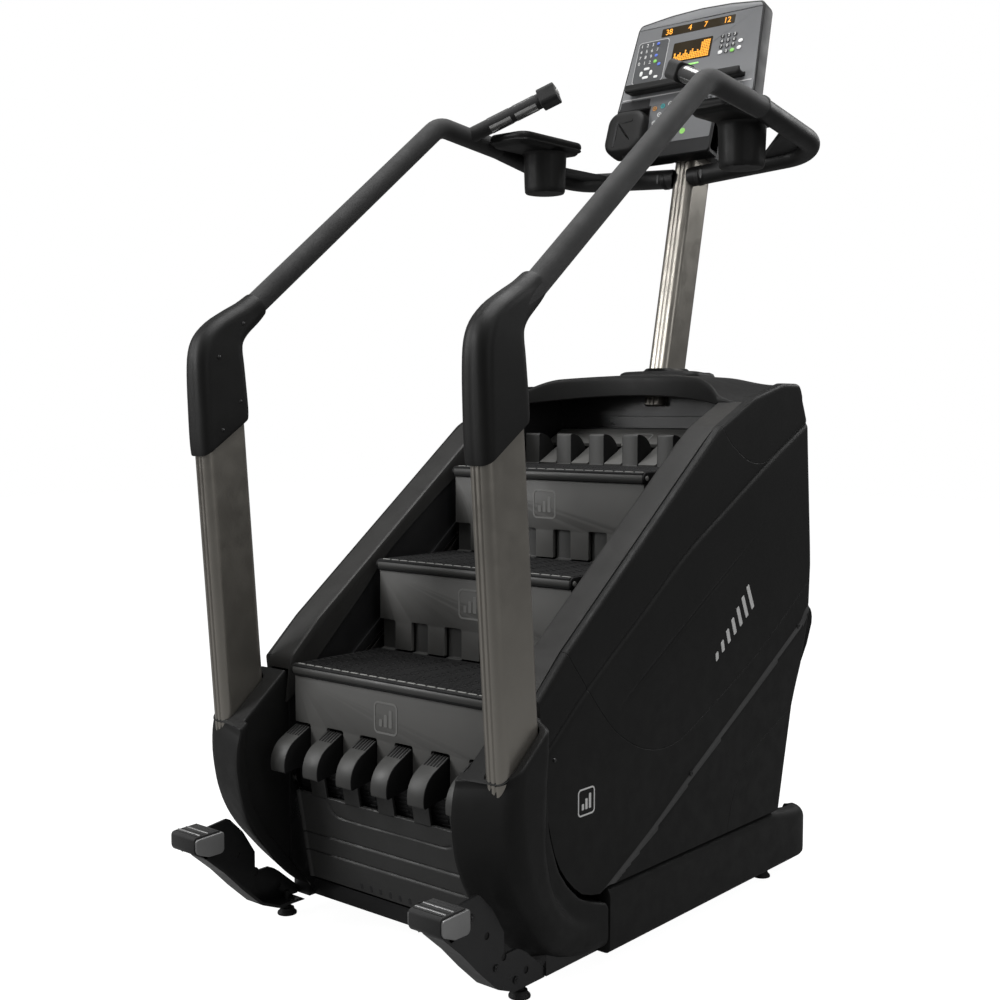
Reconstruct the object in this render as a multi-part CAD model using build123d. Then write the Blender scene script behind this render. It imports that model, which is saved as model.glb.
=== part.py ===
from build123d import *
from math import atan2, cos, degrees, pi, radians, sin, tan
import os

# Stair climber, millimetres. Working axes: x across, y from the entrance towards
# the console, z up from the floor. save() shifts the working frame to the middle
# of the footprint. Every mirrored piece is drawn on the +x side first.

# ---- driving dimensions ----
MIDDLE_Y = 100.0
WALL = 4.0

STEP_RISE = 203.0
STEP_RUN = 256.5
TREAD_HALF = 277.0
RISER_HALF = 273.0
TREAD_THICK = 25.0
RISER_THICK = 10.0
NOSE_R = 12.5
NOSE_REACH = 8.0
FINGER_COUNT = 6
FINGER_PITCH = 100.0
FINGER_WIDE = 46.0
FINGER_TALL = 63.0
FINGER_DEEP = 62.0
COMB_BAR = 14.0
NOTCH_WIDE = 50.0
NOTCH_TALL = 67.0
LOWEST_RISER_Y = -378.0
LOWEST_TREAD_Z = 568.0
VISIBLE_STEPS = 3
RETURN_STEPS = 3
BELT_GAP = 0.3

INCLINE = atan2(STEP_RISE, STEP_RUN)
ALONG_Y, ALONG_Z = cos(INCLINE), sin(INCLINE)
BELOW_Y, BELOW_Z = sin(INCLINE), -cos(INCLINE)

SPROCKET_TEETH = 21
CHAIN_PITCH = 25.4
SPROCKET_R = CHAIN_PITCH / 2 / sin(pi / SPROCKET_TEETH)
LOWER_SHAFT = (-275.0, 338.0)
UPPER_SHAFT = (443.5, 906.6)
SHAFT_R = 17.5
RUNNING_GAP = 0.05
SPROCKET_X = (286.0, 294.0)
CHAIN_PLATES_X = ((282.5, 284.5), (295.5, 297.5))
MOTOR_AXIS = (430.0, 180.0)
BELT_X = (330.0, 346.0)
DRIVE_PULLEY_R = 95.0
MOTOR_PULLEY_R = 30.0

FRAME_PLATE_X = (304.0, 310.0)
RAIL_X = (310.0, 360.0)
RAIL_Z = (32.0, 92.0)
COVER_X = 385.0
COVER_INNER_X = 300.0
SKIRT_X = 389.0

TUBE_WIDE, TUBE_DEEP, TUBE_R = 62.0, 92.0, 24.0
UPRIGHT_X = 391.0
UPRIGHT_AT = (-436.0, 547.0)
UPRIGHT_LEAN = 4.55
UPRIGHT_Z = (215.0, 1190.0)
ELBOW_VERTEX_Z = 1244.0
RAIL_R = 24.5
RAIL_TILT_X = 382.0
RAIL_PEAK = (198.0, 1802.0)
RAIL_END = (419.0, 1778.0)
LOOP_CORNER = (722.0, 1726.0)
CROSSBAR = (705.0, 1700.0)
GRIP_ROOT = (380.0, 300.0, 1790.0)
GRIP_TIP = (171.0, 398.0, 1888.0)
GRIP_R = 19.0
BUTTON_R = 9.0
BUTTON_TRAVEL = 2.0
CUP_AT = (290.0, 500.0)
CUP_R = 54.0
CUP_Z = (1664.0, 1772.0)
TRAY_Z = (1772.0, 1796.0)

MAST_FOOT = (636.0, 1209.0)
MAST_TILT = 10.5
MAST_Z = (1100.0, 1790.0)
BEAM_Y = (596.0, 640.0)
BEAM_Z = (1056.0, 1100.0)

CONSOLE_AT = (0.0, 700.0, 1887.0)
CONSOLE_TILT = 18.4
CONSOLE_DEEP = 42.0
FACE_THICK = 6.0
KEY_TRAVEL = 1.0

FRONT_FOOT = (332.0, -356.0)
REAR_FOOT = (345.0, 533.0)
FOOT_R = 21.5
STUD_R = 6.0
WHEEL_AT = (650.0, 44.0)
WHEEL_R = 36.0
AXLE_R = 6.0
PEG_Y = (-625.0, -552.0)
PEG_Z = (192.0, 240.0)
PEG_X = (298.0, 383.0)


# ---- helpers ----
def lean(y, z, degrees_back):
    """Plane through (0, y, z), normal up, leaned about x; its local x is across."""
    a = radians(degrees_back)
    return Plane(origin=(0, y, z), x_dir=(1, 0, 0), z_dir=(0, -sin(a), cos(a)))


def corner_edges(corners):
    """Lines and tangent arcs through (y, z, radius) corners of a closed outline."""
    joins = []
    for i, (y, z, r) in enumerate(corners):
        here = Vector(y, z)
        into = (here - Vector(*corners[i - 1][:2])).normalized()
        away = (Vector(*corners[(i + 1) % len(corners)][:2]) - here).normalized()
        half = radians(into.get_angle(away)) / 2
        cut = r * tan(half)
        crown = here + (away - into).normalized() * (r / cos(half) - r) if r else here
        joins.append((here - into * cut, crown, here + away * cut, r))
    edges = []
    for i, (start, crown, end, r) in enumerate(joins):
        if r:
            edges.append(ThreePointArc(start, crown, end))
        following = joins[(i + 1) % len(joins)][0]
        if (following - end).length > 1e-4:
            edges.append(Line(end, following))
    return edges


def outline(corners):
    """Flat face whose local x, y are the given corners, each with its own radius."""
    return make_face(Wire(corner_edges(corners)).edges())


def slab(corners, x_from, x_to):
    """The (y, z) outline stretched between two stations across the machine."""
    face = Plane.YZ.offset(x_from) * outline(corners)
    return extrude(face, amount=x_to - x_from)


def bent_strip(line, drop_y, drop_z):
    """Closed outline of a bent sheet: a line of corners and the same line moved."""
    moved = [(y + drop_y, z + drop_z, r) for y, z, r in reversed(line)]
    return line + moved


def shrunk_slab(corners, inset, x_from, x_to):
    face = offset(outline(corners), amount=-inset, kind=Kind.INTERSECTION)
    return extrude(Plane.YZ.offset(x_from) * face, amount=x_to - x_from)


def block(x, y, z):
    """Box between three pairs of limits."""
    size = (x[1] - x[0], y[1] - y[0], z[1] - z[0])
    centre = ((x[0] + x[1]) / 2, (y[0] + y[1]) / 2, (z[0] + z[1]) / 2)
    return Pos(*centre) * Box(*size)


def bar_x(y, z, radius, x_from, x_to):
    """Round bar along x."""
    face = Plane.YZ.offset(x_from) * Pos(y, z) * Circle(radius)
    return extrude(face, amount=x_to - x_from)


def bar_between(start, end, radius):
    path = Vector(*end) - Vector(*start)
    plane = Plane(origin=start, z_dir=path)
    return extrude(plane * Circle(radius), amount=path.length)


def tube_along(points, radii, radius, bore=0.0):
    """Round tube along straight runs joined by tangent arcs."""
    path = FilletPolyline(*points, radius=radii)
    section = Circle(radius) - Circle(bore) if bore else Circle(radius)
    start = Plane(origin=path @ 0, z_dir=path % 0)
    return sweep(start * section, path=path)


def other_side(shape):
    return mirror(shape, about=Plane.YZ)


def pair(shape):
    return [shape, other_side(shape)]


def save(name, shapes):
    """Writes one node; shapes are separate solids that share it."""
    if not isinstance(shapes, (list, tuple)):
        shapes = [shapes]
    solids = [s.moved(Location((0, -MIDDLE_Y, 0))) for one in shapes for s in one.solids()]
    node = solids[0] if len(solids) == 1 else Compound(children=solids)
    node.label = name
    export_step(node, f"parts/{name}.step")


def save_sides(name, right):
    """The +x piece and its mirror image as two nodes."""
    save(name + "_right", right)
    save(name + "_left", other_side(right))


# ---- stairs ----
def tread_depth():
    """From the front of the nose to the face of the riser above."""
    return STEP_RUN + NOSE_REACH


def tread():
    """One tread in its own axes: nose front at the origin, walking surface at z 0.

    Two pieces: the plate with its rounded nose, and the finger comb behind it.
    """
    depth = tread_depth()
    plate = block((-TREAD_HALF, TREAD_HALF), (NOSE_R, depth - COMB_BAR), (-TREAD_THICK, 0))
    plate += bar_x(NOSE_R, -NOSE_R, NOSE_R, -TREAD_HALF, TREAD_HALF)
    comb = block((-TREAD_HALF, TREAD_HALF), (depth - COMB_BAR, depth - 3), (-TREAD_THICK, 0))
    finger = [
        (depth - 8, -TREAD_THICK, 2),
        (depth - 4, -2, 0),
        (depth, 2, 0),
        (depth, FINGER_TALL, 5),
        (depth + 42, FINGER_TALL, 26),
        (depth + FINGER_DEEP, 30, 16),
        (depth + 26, -6, 20),
    ]
    for centre in finger_centres():
        comb += slab(finger, centre - FINGER_WIDE / 2, centre + FINGER_WIDE / 2)
    return [plate, comb]


def finger_centres():
    first = -FINGER_PITCH * (FINGER_COUNT - 1) / 2
    return [first + FINGER_PITCH * i for i in range(FINGER_COUNT)]


def riser(notch_tall=NOTCH_TALL):
    """One riser in its own axes: front face at y 0, top at z 0 under its tread."""
    height = STEP_RISE - TREAD_THICK - 2
    body = block((-RISER_HALF, RISER_HALF), (0, RISER_THICK), (-height, 0))
    for centre in finger_centres():
        low = -height - 1
        high = -height + notch_tall - 2
        side = (centre - NOTCH_WIDE / 2, centre + NOTCH_WIDE / 2)
        body -= block(side, (-1, RISER_THICK + 1), (low, high))
    return body


def step_place(index):
    """(y, z) of the nose front of visible step 0, 1, 2 from the bottom."""
    y = LOWEST_RISER_Y - NOSE_REACH + index * STEP_RUN
    return y, LOWEST_TREAD_Z + index * STEP_RISE


def turned(shape, y, z, angle):
    return Pos(0, y, z) * Rot(X=angle) * shape


def visible_treads():
    """Treads of the working run, each with the two hinge pins at its rear edge."""
    treads = []
    for i in range(VISIBLE_STEPS):
        y, z = step_place(i)
        pin = bar_x(y + tread_depth() - COMB_BAR / 2, z - 12, 5, TREAD_HALF, 281.5)
        plate, comb = tread()
        treads.append(Pos(0, y, z) * plate)
        treads.append(Pos(0, y, z) * comb + pin + other_side(pin))
    return treads


def visible_risers():
    risers = []
    for i in range(VISIBLE_STEPS):
        y, z = step_place(i)
        risers.append(Pos(0, y + NOSE_REACH, z - TREAD_THICK) * riser())
    return risers


TOP_HINGE = (391.0, 977.0)
TOP_NOSE = (566.0, 1068.0)


def top_riser():
    """The riser going over the top: it lies back behind the fingers of the last tread."""
    rise = atan2(TOP_NOSE[1] - TOP_HINGE[1], TOP_NOSE[0] - TOP_HINGE[0])
    height = STEP_RISE - TREAD_THICK - 2
    leaned = Pos(0, 0, height) * riser(NOTCH_TALL + 16)
    return turned(leaned, TOP_HINGE[0] + 7, TOP_HINGE[1] + 1, degrees(rise) - 90)


def top_tread():
    return [turned(piece, TOP_NOSE[0] + 16, TOP_NOSE[1] - 6, -97) for piece in tread()]


BOTTOM_FINGER_FOOT = (-371.0, 352.0)
BOTTOM_TURN = 100.7


def bottom_tread():
    """The tread going under the bottom: it hangs behind the kick panel, fingers out."""
    a = radians(BOTTOM_TURN)
    y = BOTTOM_FINGER_FOOT[0] - tread_depth() * cos(a)
    z = BOTTOM_FINGER_FOOT[1] - tread_depth() * sin(a)
    return [turned(piece, y, z, BOTTOM_TURN) for piece in tread()]


def return_steps():
    """Steps folded flat on their way back up, each tread with its riser on top."""
    lower_y = LOWER_SHAFT[0] + BELOW_Y * SPROCKET_R
    lower_z = LOWER_SHAFT[1] + BELOW_Z * SPROCKET_R
    pitch = (STEP_RISE**2 + STEP_RUN**2) ** 0.5
    steps = []
    for i in range(RETURN_STEPS):
        t = 170 + i * pitch * 0.86
        y, z = lower_y + ALONG_Y * t, lower_z + ALONG_Z * t
        place = Pos(0, y, z) * Rot(X=degrees(INCLINE))
        across = (-TREAD_HALF, TREAD_HALF)
        steps.append(place * block(across, (-128, 128), (-44, -22)))
        across = (-RISER_HALF, RISER_HALF)
        steps.append(place * block(across, (-70, 128), (-22, -12)))
    return steps


# ---- drive ----
def sprocket(shaft):
    face = Pos(*shaft) * Circle(SPROCKET_R + 5)
    for i in range(SPROCKET_TEETH):
        a = 2 * pi * i / SPROCKET_TEETH
        seat = (shaft[0] + SPROCKET_R * cos(a), shaft[1] + SPROCKET_R * sin(a))
        face -= Pos(*seat) * Circle(8)
        face -= Pos(seat[0] + 6 * cos(a), seat[1] + 6 * sin(a)) * Circle(8.5)
    for i in range(5):
        a = 2 * pi * i / 5
        face -= Pos(shaft[0] + 48 * cos(a), shaft[1] + 48 * sin(a)) * Circle(15)
    width = SPROCKET_X[1] - SPROCKET_X[0]
    return extrude(Plane.YZ.offset(SPROCKET_X[0]) * face, amount=width)


def drive_shaft():
    shaft = bar_x(*UPPER_SHAFT, SHAFT_R, -345, 352)
    right = sprocket(UPPER_SHAFT)
    pulley = bar_x(*UPPER_SHAFT, DRIVE_PULLEY_R, *BELT_X)
    return shaft + right + other_side(right) + pulley


def idler_shaft():
    right = sprocket(LOWER_SHAFT)
    return bar_x(*LOWER_SHAFT, SHAFT_R, -345, 345) + right + other_side(right)


def motor_shaft():
    shaft = bar_x(*MOTOR_AXIS, 10, 282, 350)
    return shaft + bar_x(*MOTOR_AXIS, MOTOR_PULLEY_R, *BELT_X)


def band(first, second, first_r, second_r, x):
    """Solid enclosed by a belt round two wheels, as straight tangents and two arcs."""
    dy, dz = second[0] - first[0], second[1] - first[1]
    gap = (dy * dy + dz * dz) ** 0.5
    heading = atan2(dz, dy)
    swing = pi / 2 + atan2(second_r - first_r, gap)

    def on(centre, radius, a):
        return centre[0] + radius * cos(a), centre[1] + radius * sin(a)

    up, down = heading + swing, heading - swing
    edges = [
        Line(on(first, first_r, up), on(second, second_r, up)),
        ThreePointArc(
            on(second, second_r, up),
            on(second, second_r, heading),
            on(second, second_r, down),
        ),
        Line(on(second, second_r, down), on(first, first_r, down)),
        ThreePointArc(
            on(first, first_r, down),
            on(first, first_r, heading + pi),
            on(first, first_r, up),
        ),
    ]
    face = make_face(Wire(edges).edges())
    return extrude(Plane.YZ.offset(x[0]) * face, amount=x[1] - x[0])


def step_chains():
    """Side plates of both chains; they stand either side of the sprocket teeth."""
    plates = []
    for x in CHAIN_PLATES_X:
        outer = band(LOWER_SHAFT, UPPER_SHAFT, SPROCKET_R + 10, SPROCKET_R + 10, x)
        inner = band(LOWER_SHAFT, UPPER_SHAFT, SPROCKET_R - 10, SPROCKET_R - 10, x)
        plates += pair(outer - inner)
    return plates


def drive_belt():
    x = (BELT_X[0] + 1, BELT_X[1] - 1)
    gap = BELT_GAP
    inner = band(MOTOR_AXIS, UPPER_SHAFT, MOTOR_PULLEY_R + gap, DRIVE_PULLEY_R + gap, x)
    outer = band(MOTOR_AXIS, UPPER_SHAFT, MOTOR_PULLEY_R + 5, DRIVE_PULLEY_R + 5, x)
    return outer - inner


def shaft_bearings():
    bearings = []
    for shaft in (LOWER_SHAFT, UPPER_SHAFT):
        ring = bar_x(*shaft, 36, FRAME_PLATE_X[1], 326)
        ring -= bar_x(*shaft, SHAFT_R + RUNNING_GAP, FRAME_PLATE_X[1] - 1, 327)
        bearings += pair(ring)
    return bearings


def motor_unit():
    """Gearmotor on its cradle, standing on the rear cross tubes."""
    case = bar_x(*MOTOR_AXIS, 70, 96, 276)
    case += bar_x(*MOTOR_AXIS, 34, 276, 300)
    case += bar_x(*MOTOR_AXIS, 78, 88, 96)
    cradle = block((120, 250), (380, 480), (72, 130))
    case += cradle
    return case - bar_x(*MOTOR_AXIS, 10 + RUNNING_GAP, 280, 301)


def controller_box():
    lid = block((-246, -104), (384, 496), (142, 146))
    return [block((-250, -100), (380, 500), (72, 142)), lid]


# ---- frame ----
def side_frame_corners():
    return [
        (-366, 130, 20),
        (-366, 545, 20),
        (-285, 628, 20),
        (250, 1040, 60),
        (410, 1116, 40),
        (590, 1140, 40),
        (640, 1112, 20),
        (664, 745, 30),
        (652, 610, 30),
        (572, 430, 60),
        (520, 150, 20),
        (520, 32, 0),
        (-290, 32, 0),
    ]


def side_frame():
    """Steel side plate that carries both shafts and the step tracks."""
    plate = slab(side_frame_corners(), *FRAME_PLATE_X)
    for shaft in (LOWER_SHAFT, UPPER_SHAFT):
        plate -= bar_x(*shaft, SHAFT_R + 2, FRAME_PLATE_X[0] - 1, FRAME_PLATE_X[1] + 1)
    plate -= bar_x(*MOTOR_AXIS, 14, FRAME_PLATE_X[0] - 1, FRAME_PLATE_X[1] + 1)
    for hand in (-1, 1):
        shift = hand * (SPROCKET_R + 28)
        y = (LOWER_SHAFT[0] + UPPER_SHAFT[0]) / 2 - BELOW_Y * shift
        z = (LOWER_SHAFT[1] + UPPER_SHAFT[1]) / 2 - BELOW_Z * shift
        track = Pos(0, y, z) * Rot(X=degrees(INCLINE))
        plate += track * block((298.5, FRAME_PLATE_X[0]), (-330, 330), (-3, 3))
    return plate


def base_frame():
    """Floor frame of box tubes, butted end to end, with the mast's cross beam."""
    tubes = []
    rail = block(RAIL_X, (-310, 690), RAIL_Z)
    rail -= block((RAIL_X[0] + 3, RAIL_X[1] - 3), (-307, 687), (RAIL_Z[0] + 3, RAIL_Z[1] - 3))
    rail -= Pos(REAR_FOOT[0], REAR_FOOT[1], 40) * Cylinder(STUD_R + RUNNING_GAP, 40)
    rail -= bar_x(*WHEEL_AT, AXLE_R, 300, 345)
    tubes += pair(rail)
    inner = FRAME_PLATE_X[0]
    for y in (-300, 392, 448):
        tubes.append(block((-inner, inner), (y, y + 36), (36, 72)))
    tubes.append(block((-inner, inner), BEAM_Y, BEAM_Z))
    return tubes


def wheel_axles():
    pin = bar_x(*WHEEL_AT, AXLE_R, 272, 345)
    return pair(pin + bar_x(*WHEEL_AT, 10, 268, 272))


def transport_wheel():
    wheel = bar_x(*WHEEL_AT, WHEEL_R, 276, 302)
    wheel -= bar_x(*WHEEL_AT, WHEEL_R - 12, 275, 281)
    wheel += bar_x(*WHEEL_AT, 12, 275, 303)
    return wheel - bar_x(*WHEEL_AT, AXLE_R + RUNNING_GAP, 274, 304)


def levelling_foot(at, stud_top):
    pad = Pos(at[0], at[1], 0) * Cone(FOOT_R, FOOT_R - 6, 15, align=(Align.CENTER,) * 2 + (Align.MIN,))
    stud = Pos(at[0], at[1], 15) * Cylinder(STUD_R, stud_top - 15, align=(Align.CENTER,) * 2 + (Align.MIN,))
    return pad + stud


# ---- uprights, rails and mast ----
def upright_section(shrink=0.0):
    wide, deep = TUBE_WIDE - 2 * shrink, TUBE_DEEP - 2 * shrink
    return RectangleRounded(wide, deep, TUBE_R - shrink)


def column_y(z):
    """Where the leaned axis of a side column is at height z."""
    return UPRIGHT_AT[0] - tan(radians(UPRIGHT_LEAN)) * (z - UPRIGHT_AT[1])


def upright_post(shrink, z_from, z_to):
    plane = lean(column_y(z_from), z_from, UPRIGHT_LEAN)
    length = (z_to - z_from) / cos(radians(UPRIGHT_LEAN))
    return extrude(plane * Pos(UPRIGHT_X, 0) * upright_section(shrink), amount=length)


def upright():
    """Fluted column with a cap plate on top and a gusset welded to the floor frame."""
    post = upright_post(0, *UPRIGHT_Z) - upright_post(3, UPRIGHT_Z[0] - 1, UPRIGHT_Z[1] - 6)
    plane = lean(column_y(UPRIGHT_Z[0]), UPRIGHT_Z[0], UPRIGHT_LEAN)
    for x in (-10, 10):
        flute = plane * Pos(UPRIGHT_X + x, -TUBE_DEEP / 2 - 1) * Circle(2.5)
        post -= extrude(flute, amount=1000)
    gusset = [
        (-446, 238, 0),
        (-366, 238, 0),
        (-300, 130, 20),
        (-215, 92, 20),
        (-215, 50, 6),
        (-290, 66, 20),
        (-378, 128, 20),
        (-440, 215, 10),
    ]
    return post + slab(gusset, RAIL_X[1], RAIL_X[1] + 8)


ELBOW = [
    (-526, 1013, 6),
    (-543, 1258, 75),
    (-401, 1356, 4),
    (-364, 1309, 4),
    (-440, 1243, 45),
    (-424, 1096, 6),
]
ELBOW_HALF = 40.0


def elbow_screws():
    screws = []
    for y, z in ((-500, 1060), (-446, 1120), (-505, 1225), (-428, 1300)):
        screws.append(bar_x(y, z, 4, UPRIGHT_X - ELBOW_HALF, UPRIGHT_X - ELBOW_HALF + WALL))
    return screws


def elbow_shell(x_from, x_to):
    """Half of the clamshell round the joint of the column and the handrail."""
    outer = slab(ELBOW, UPRIGHT_X - ELBOW_HALF, UPRIGHT_X + ELBOW_HALF)
    long_edges = outer.faces().filter_by(Axis.X).edges()
    outer = fillet(long_edges, 10)
    hollow = shrunk_slab(ELBOW, WALL, UPRIGHT_X - ELBOW_HALF + WALL, UPRIGHT_X + ELBOW_HALF - WALL)
    shell = outer - hollow
    shell -= upright_post(0, 900, 1150)
    shell -= handrail_tube(0)
    return shell & block((x_from, x_to), (-700, 0), (900, 1500))


def elbow_inner():
    shell = elbow_shell(UPRIGHT_X - ELBOW_HALF, UPRIGHT_X)
    for screw in elbow_screws():
        shell -= screw
    return shell


def handrail_tube(bore):
    points = [
        (UPRIGHT_X, column_y(UPRIGHT_Z[1]), UPRIGHT_Z[1]),
        (UPRIGHT_X, column_y(ELBOW_VERTEX_Z), ELBOW_VERTEX_Z),
        (RAIL_TILT_X, *RAIL_PEAK),
        (RAIL_TILT_X, *RAIL_END),
    ]
    return tube_along(points, [45, 70], RAIL_R, bore)


def loop_tube(bore):
    points = [
        (RAIL_TILT_X, *RAIL_END),
        (RAIL_TILT_X, *LOOP_CORNER),
        (20, *CROSSBAR),
    ]
    return tube_along(points, [90], RAIL_R, bore)


def mast_post(shrink, z_from, z_to):
    y = MAST_FOOT[0] + tan(radians(MAST_TILT)) * (z_from - MAST_FOOT[1])
    plane = lean(y, z_from, -MAST_TILT)
    length = (z_to - z_from) / cos(radians(MAST_TILT))
    return extrude(plane * upright_section(shrink), amount=length)


def mast():
    """Column of the same section, cut level where it stands on the cross beam."""
    post = mast_post(0, MAST_Z[0] - 30, MAST_Z[1]) - mast_post(3, MAST_Z[0] - 31, MAST_Z[1] - 6)
    level = block((-100, 100), (400, 900), (MAST_Z[0], 2000))
    foot = block((-60, 60), BEAM_Y, (MAST_Z[0], MAST_Z[0] + 6))
    return (post & level) + (foot - mast_post(3, MAST_Z[0] - 31, MAST_Z[1] - 6))


def loop_with_web():
    """Front loop with the flat web plate in its inside corner."""
    loop = loop_tube(RAIL_R - 3)
    loop -= mast_post(0, 1600, 1800) + handrail_tube(0)
    corners = [(366, 560, 1758), (366, 690, 1737), (230, 696, 1722)]
    face = make_face(Polyline(*corners, close=True))
    web = extrude(face, amount=6, both=True) - loop_tube(0) - handrail_tube(0)
    return loop + web


def grip_axis():
    return (Vector(*GRIP_TIP) - Vector(*GRIP_ROOT)).normalized()


def grip_plane(back_from_tip):
    place = Vector(*GRIP_TIP) - grip_axis() * back_from_tip
    return Plane(origin=place, x_dir=(0, 1, 0), z_dir=grip_axis())


def hand_grip():
    bar = bar_between(GRIP_ROOT, GRIP_TIP, GRIP_R) - handrail_tube(0)
    head = extrude(grip_plane(46) * RectangleRounded(50, 46, 12), amount=46)
    bar += fillet(head.edges().filter_by(grip_plane(0)), 3)
    return bar - extrude(grip_plane(14) * Circle(BUTTON_R + 0.3), amount=20)


def grip_contacts():
    """Two bowed metal strips on the upper side of each grip."""
    strips = []
    for back in (116, 186):
        ring = extrude(grip_plane(back) * (Circle(GRIP_R + 0.9) - Circle(GRIP_R)), amount=58)
        upper = extrude(grip_plane(back) * Pos(0, 22) * Rectangle(34, 40), amount=58)
        lower = extrude(grip_plane(back) * Pos(0, -22) * Rectangle(34, 40), amount=58)
        strips += pair(ring & upper) + pair(ring & lower)
    return strips


def grip_button():
    stem = extrude(grip_plane(14 - BUTTON_TRAVEL - 1) * Circle(BUTTON_R), amount=14)
    return fillet(stem.edges().sort_by(lambda e: (e.center() - Vector(*GRIP_TIP)).dot(grip_axis()))[-1], 1.5)


def cup_holder():
    """Tray that clips under the rail, with a deep round cup."""
    tray = Pos(CUP_AT[0] + 4, 470, TRAY_Z[0]) * extrude(RectangleRounded(128, 252, 26), amount=24)
    tray = fillet(tray.edges().group_by(Axis.Z)[-1], 5)
    cup = Pos(*CUP_AT, CUP_Z[0]) * Cone(
        CUP_R - 4, CUP_R, CUP_Z[1] - CUP_Z[0], align=(Align.CENTER,) * 2 + (Align.MIN,)
    )
    body = tray + cup
    body -= Pos(*CUP_AT, CUP_Z[0] + 5) * Cone(
        CUP_R - 10, CUP_R - 6, 200, align=(Align.CENTER,) * 2 + (Align.MIN,)
    )
    return body - handrail_tube(0) - loop_tube(0)


# ---- covers ----
PANEL = [
    (-361, 560, 0),
    (-364, 572, 4),
    (-280, 652, 60),
    (263, 1071, 90),
    (409, 1138, 80),
    (540, 1167, 40),
    (625, 1166, 22),
    (667, 1080, 30),
    (692, 745, 60),
    (684, 600, 40),
    (601, 419, 80),
    (540, 172, 10),
    (-148, 172, 6),
    (-166, 168, 10),
    (-225, 190, 40),
    (-292, 254, 40),
    (-325, 345, 60),
    (-336, 450, 40),
]
PANEL_SCREWS = ((153, 337), (621, 598))


def panel_screw_shanks(extra=0.0):
    return [bar_x(y, z, 3, COVER_X - WALL, COVER_X + extra) for y, z in PANEL_SCREWS]


def side_panel():
    """Outer shell of a side cover: a flat wall with a rim folded inwards."""
    shell = slab(PANEL, COVER_X - 20, COVER_X)
    shell = fillet(shell.faces().sort_by(Axis.X)[-1].edges(), 3)
    shell -= shrunk_slab(PANEL, WALL, COVER_X - 21, COVER_X - WALL)
    for shank in panel_screw_shanks(1):
        shell -= shank
    return shell


SLOPE_TOP = [
    (-284, 652, 0),
    (213, 1036, 60),
    (262, 1070, 90),
    (384, 1125, 0),
]


def slope_cap():
    """Sloped strip on top of a side cover and the band that folds down inside it."""
    strip = slab(bent_strip(SLOPE_TOP, 0, -WALL), COVER_INNER_X, COVER_X - 20)
    inner_low = [(384, 1060, 10), (260, 1000, 60), (148, 935, 20), (-69, 778, 20), (-300, 563, 8)]
    return strip + slab(SLOPE_TOP + inner_low, COVER_INNER_X, COVER_INNER_X + WALL)


HOOD_HALF = 300.0
HOOD_SIDE_Y = 385.0
HOOD_MID_Y = 492.0
HOOD_BACK_Y = 640.0
HOOD_LOW_Z = 1126.0
HOOD_MID_Z = 1194.0
HOOD_SIDE_Z = 1158.0


def hood_solid(inset):
    """Plan with a hollow front edge, under a crowned roof."""
    half, back = COVER_X - 20.5 - inset, HOOD_BACK_Y - inset
    side_y = HOOD_SIDE_Y + inset
    front = [
        ThreePointArc((-HOOD_HALF, side_y), (0, HOOD_MID_Y + inset), (HOOD_HALF, side_y)),
        Line((HOOD_HALF, side_y), (half, side_y)),
        Line((half, side_y), (half, back)),
        Line((half, back), (-half, back)),
        Line((-half, back), (-half, side_y)),
        Line((-half, side_y), (-HOOD_HALF, side_y)),
    ]
    plan = make_face(Wire(front).edges())
    low = HOOD_LOW_Z - inset
    prism = extrude(Pos(0, 0, low) * plan, amount=120)
    eave = HOOD_SIDE_Z - inset
    roof_edges = [
        ThreePointArc((-400, eave), (0, HOOD_MID_Z - inset), (400, eave)),
        Line((400, eave), (400, 1000)),
        Line((400, 1000), (-400, 1000)),
        Line((-400, 1000), (-400, eave)),
    ]
    roof = extrude(Plane.XZ * make_face(Wire(roof_edges).edges()), amount=-900)
    return prism & roof


def hood():
    shell = hood_solid(0) - hood_solid(WALL)
    return shell - mast_post(0, 1080, 1400) - block((-62, 62), BEAM_Y, (1000, 1107))


def mast_collar():
    """Rounded trim ring that covers the hole in the hood round the mast."""
    ring = Pos(0, MAST_FOOT[0], 1153) * extrude(RectangleRounded(236, 118, 30), amount=65)
    ring = fillet(ring.edges().group_by(Axis.Z)[-1], 8)
    return ring - hood_solid(0) - mast_post(0, 1050, 1400)


def rear_panel():
    """Back wall between the side covers, bent to the same rear line."""
    line = [(647, 1152, 0), (658, 1078, 30), (682, 745, 60), (674, 604, 40), (592, 424, 80), (534, 180, 0)]
    sheet = slab(bent_strip(line, -WALL, 0), -(COVER_X - 21), COVER_X - 21)
    return sheet - mast_post(0, 1000, 1400)


SKIRT = [
    (-144, 30, 6),
    (-144, 140, 16),
    (-120, 168, 30),
    (500, 168, 80),
    (640, 150, 60),
    (702, 96, 40),
    (690, 30, 14),
]


def skirt():
    """Low cover along the floor frame."""
    shell = slab(SKIRT, SKIRT_X - 22, SKIRT_X)
    shell = fillet(shell.faces().sort_by(Axis.X)[-1].edges(), 5)
    return shell - shrunk_slab(SKIRT, WALL, SKIRT_X - 23, SKIRT_X - WALL)


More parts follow.
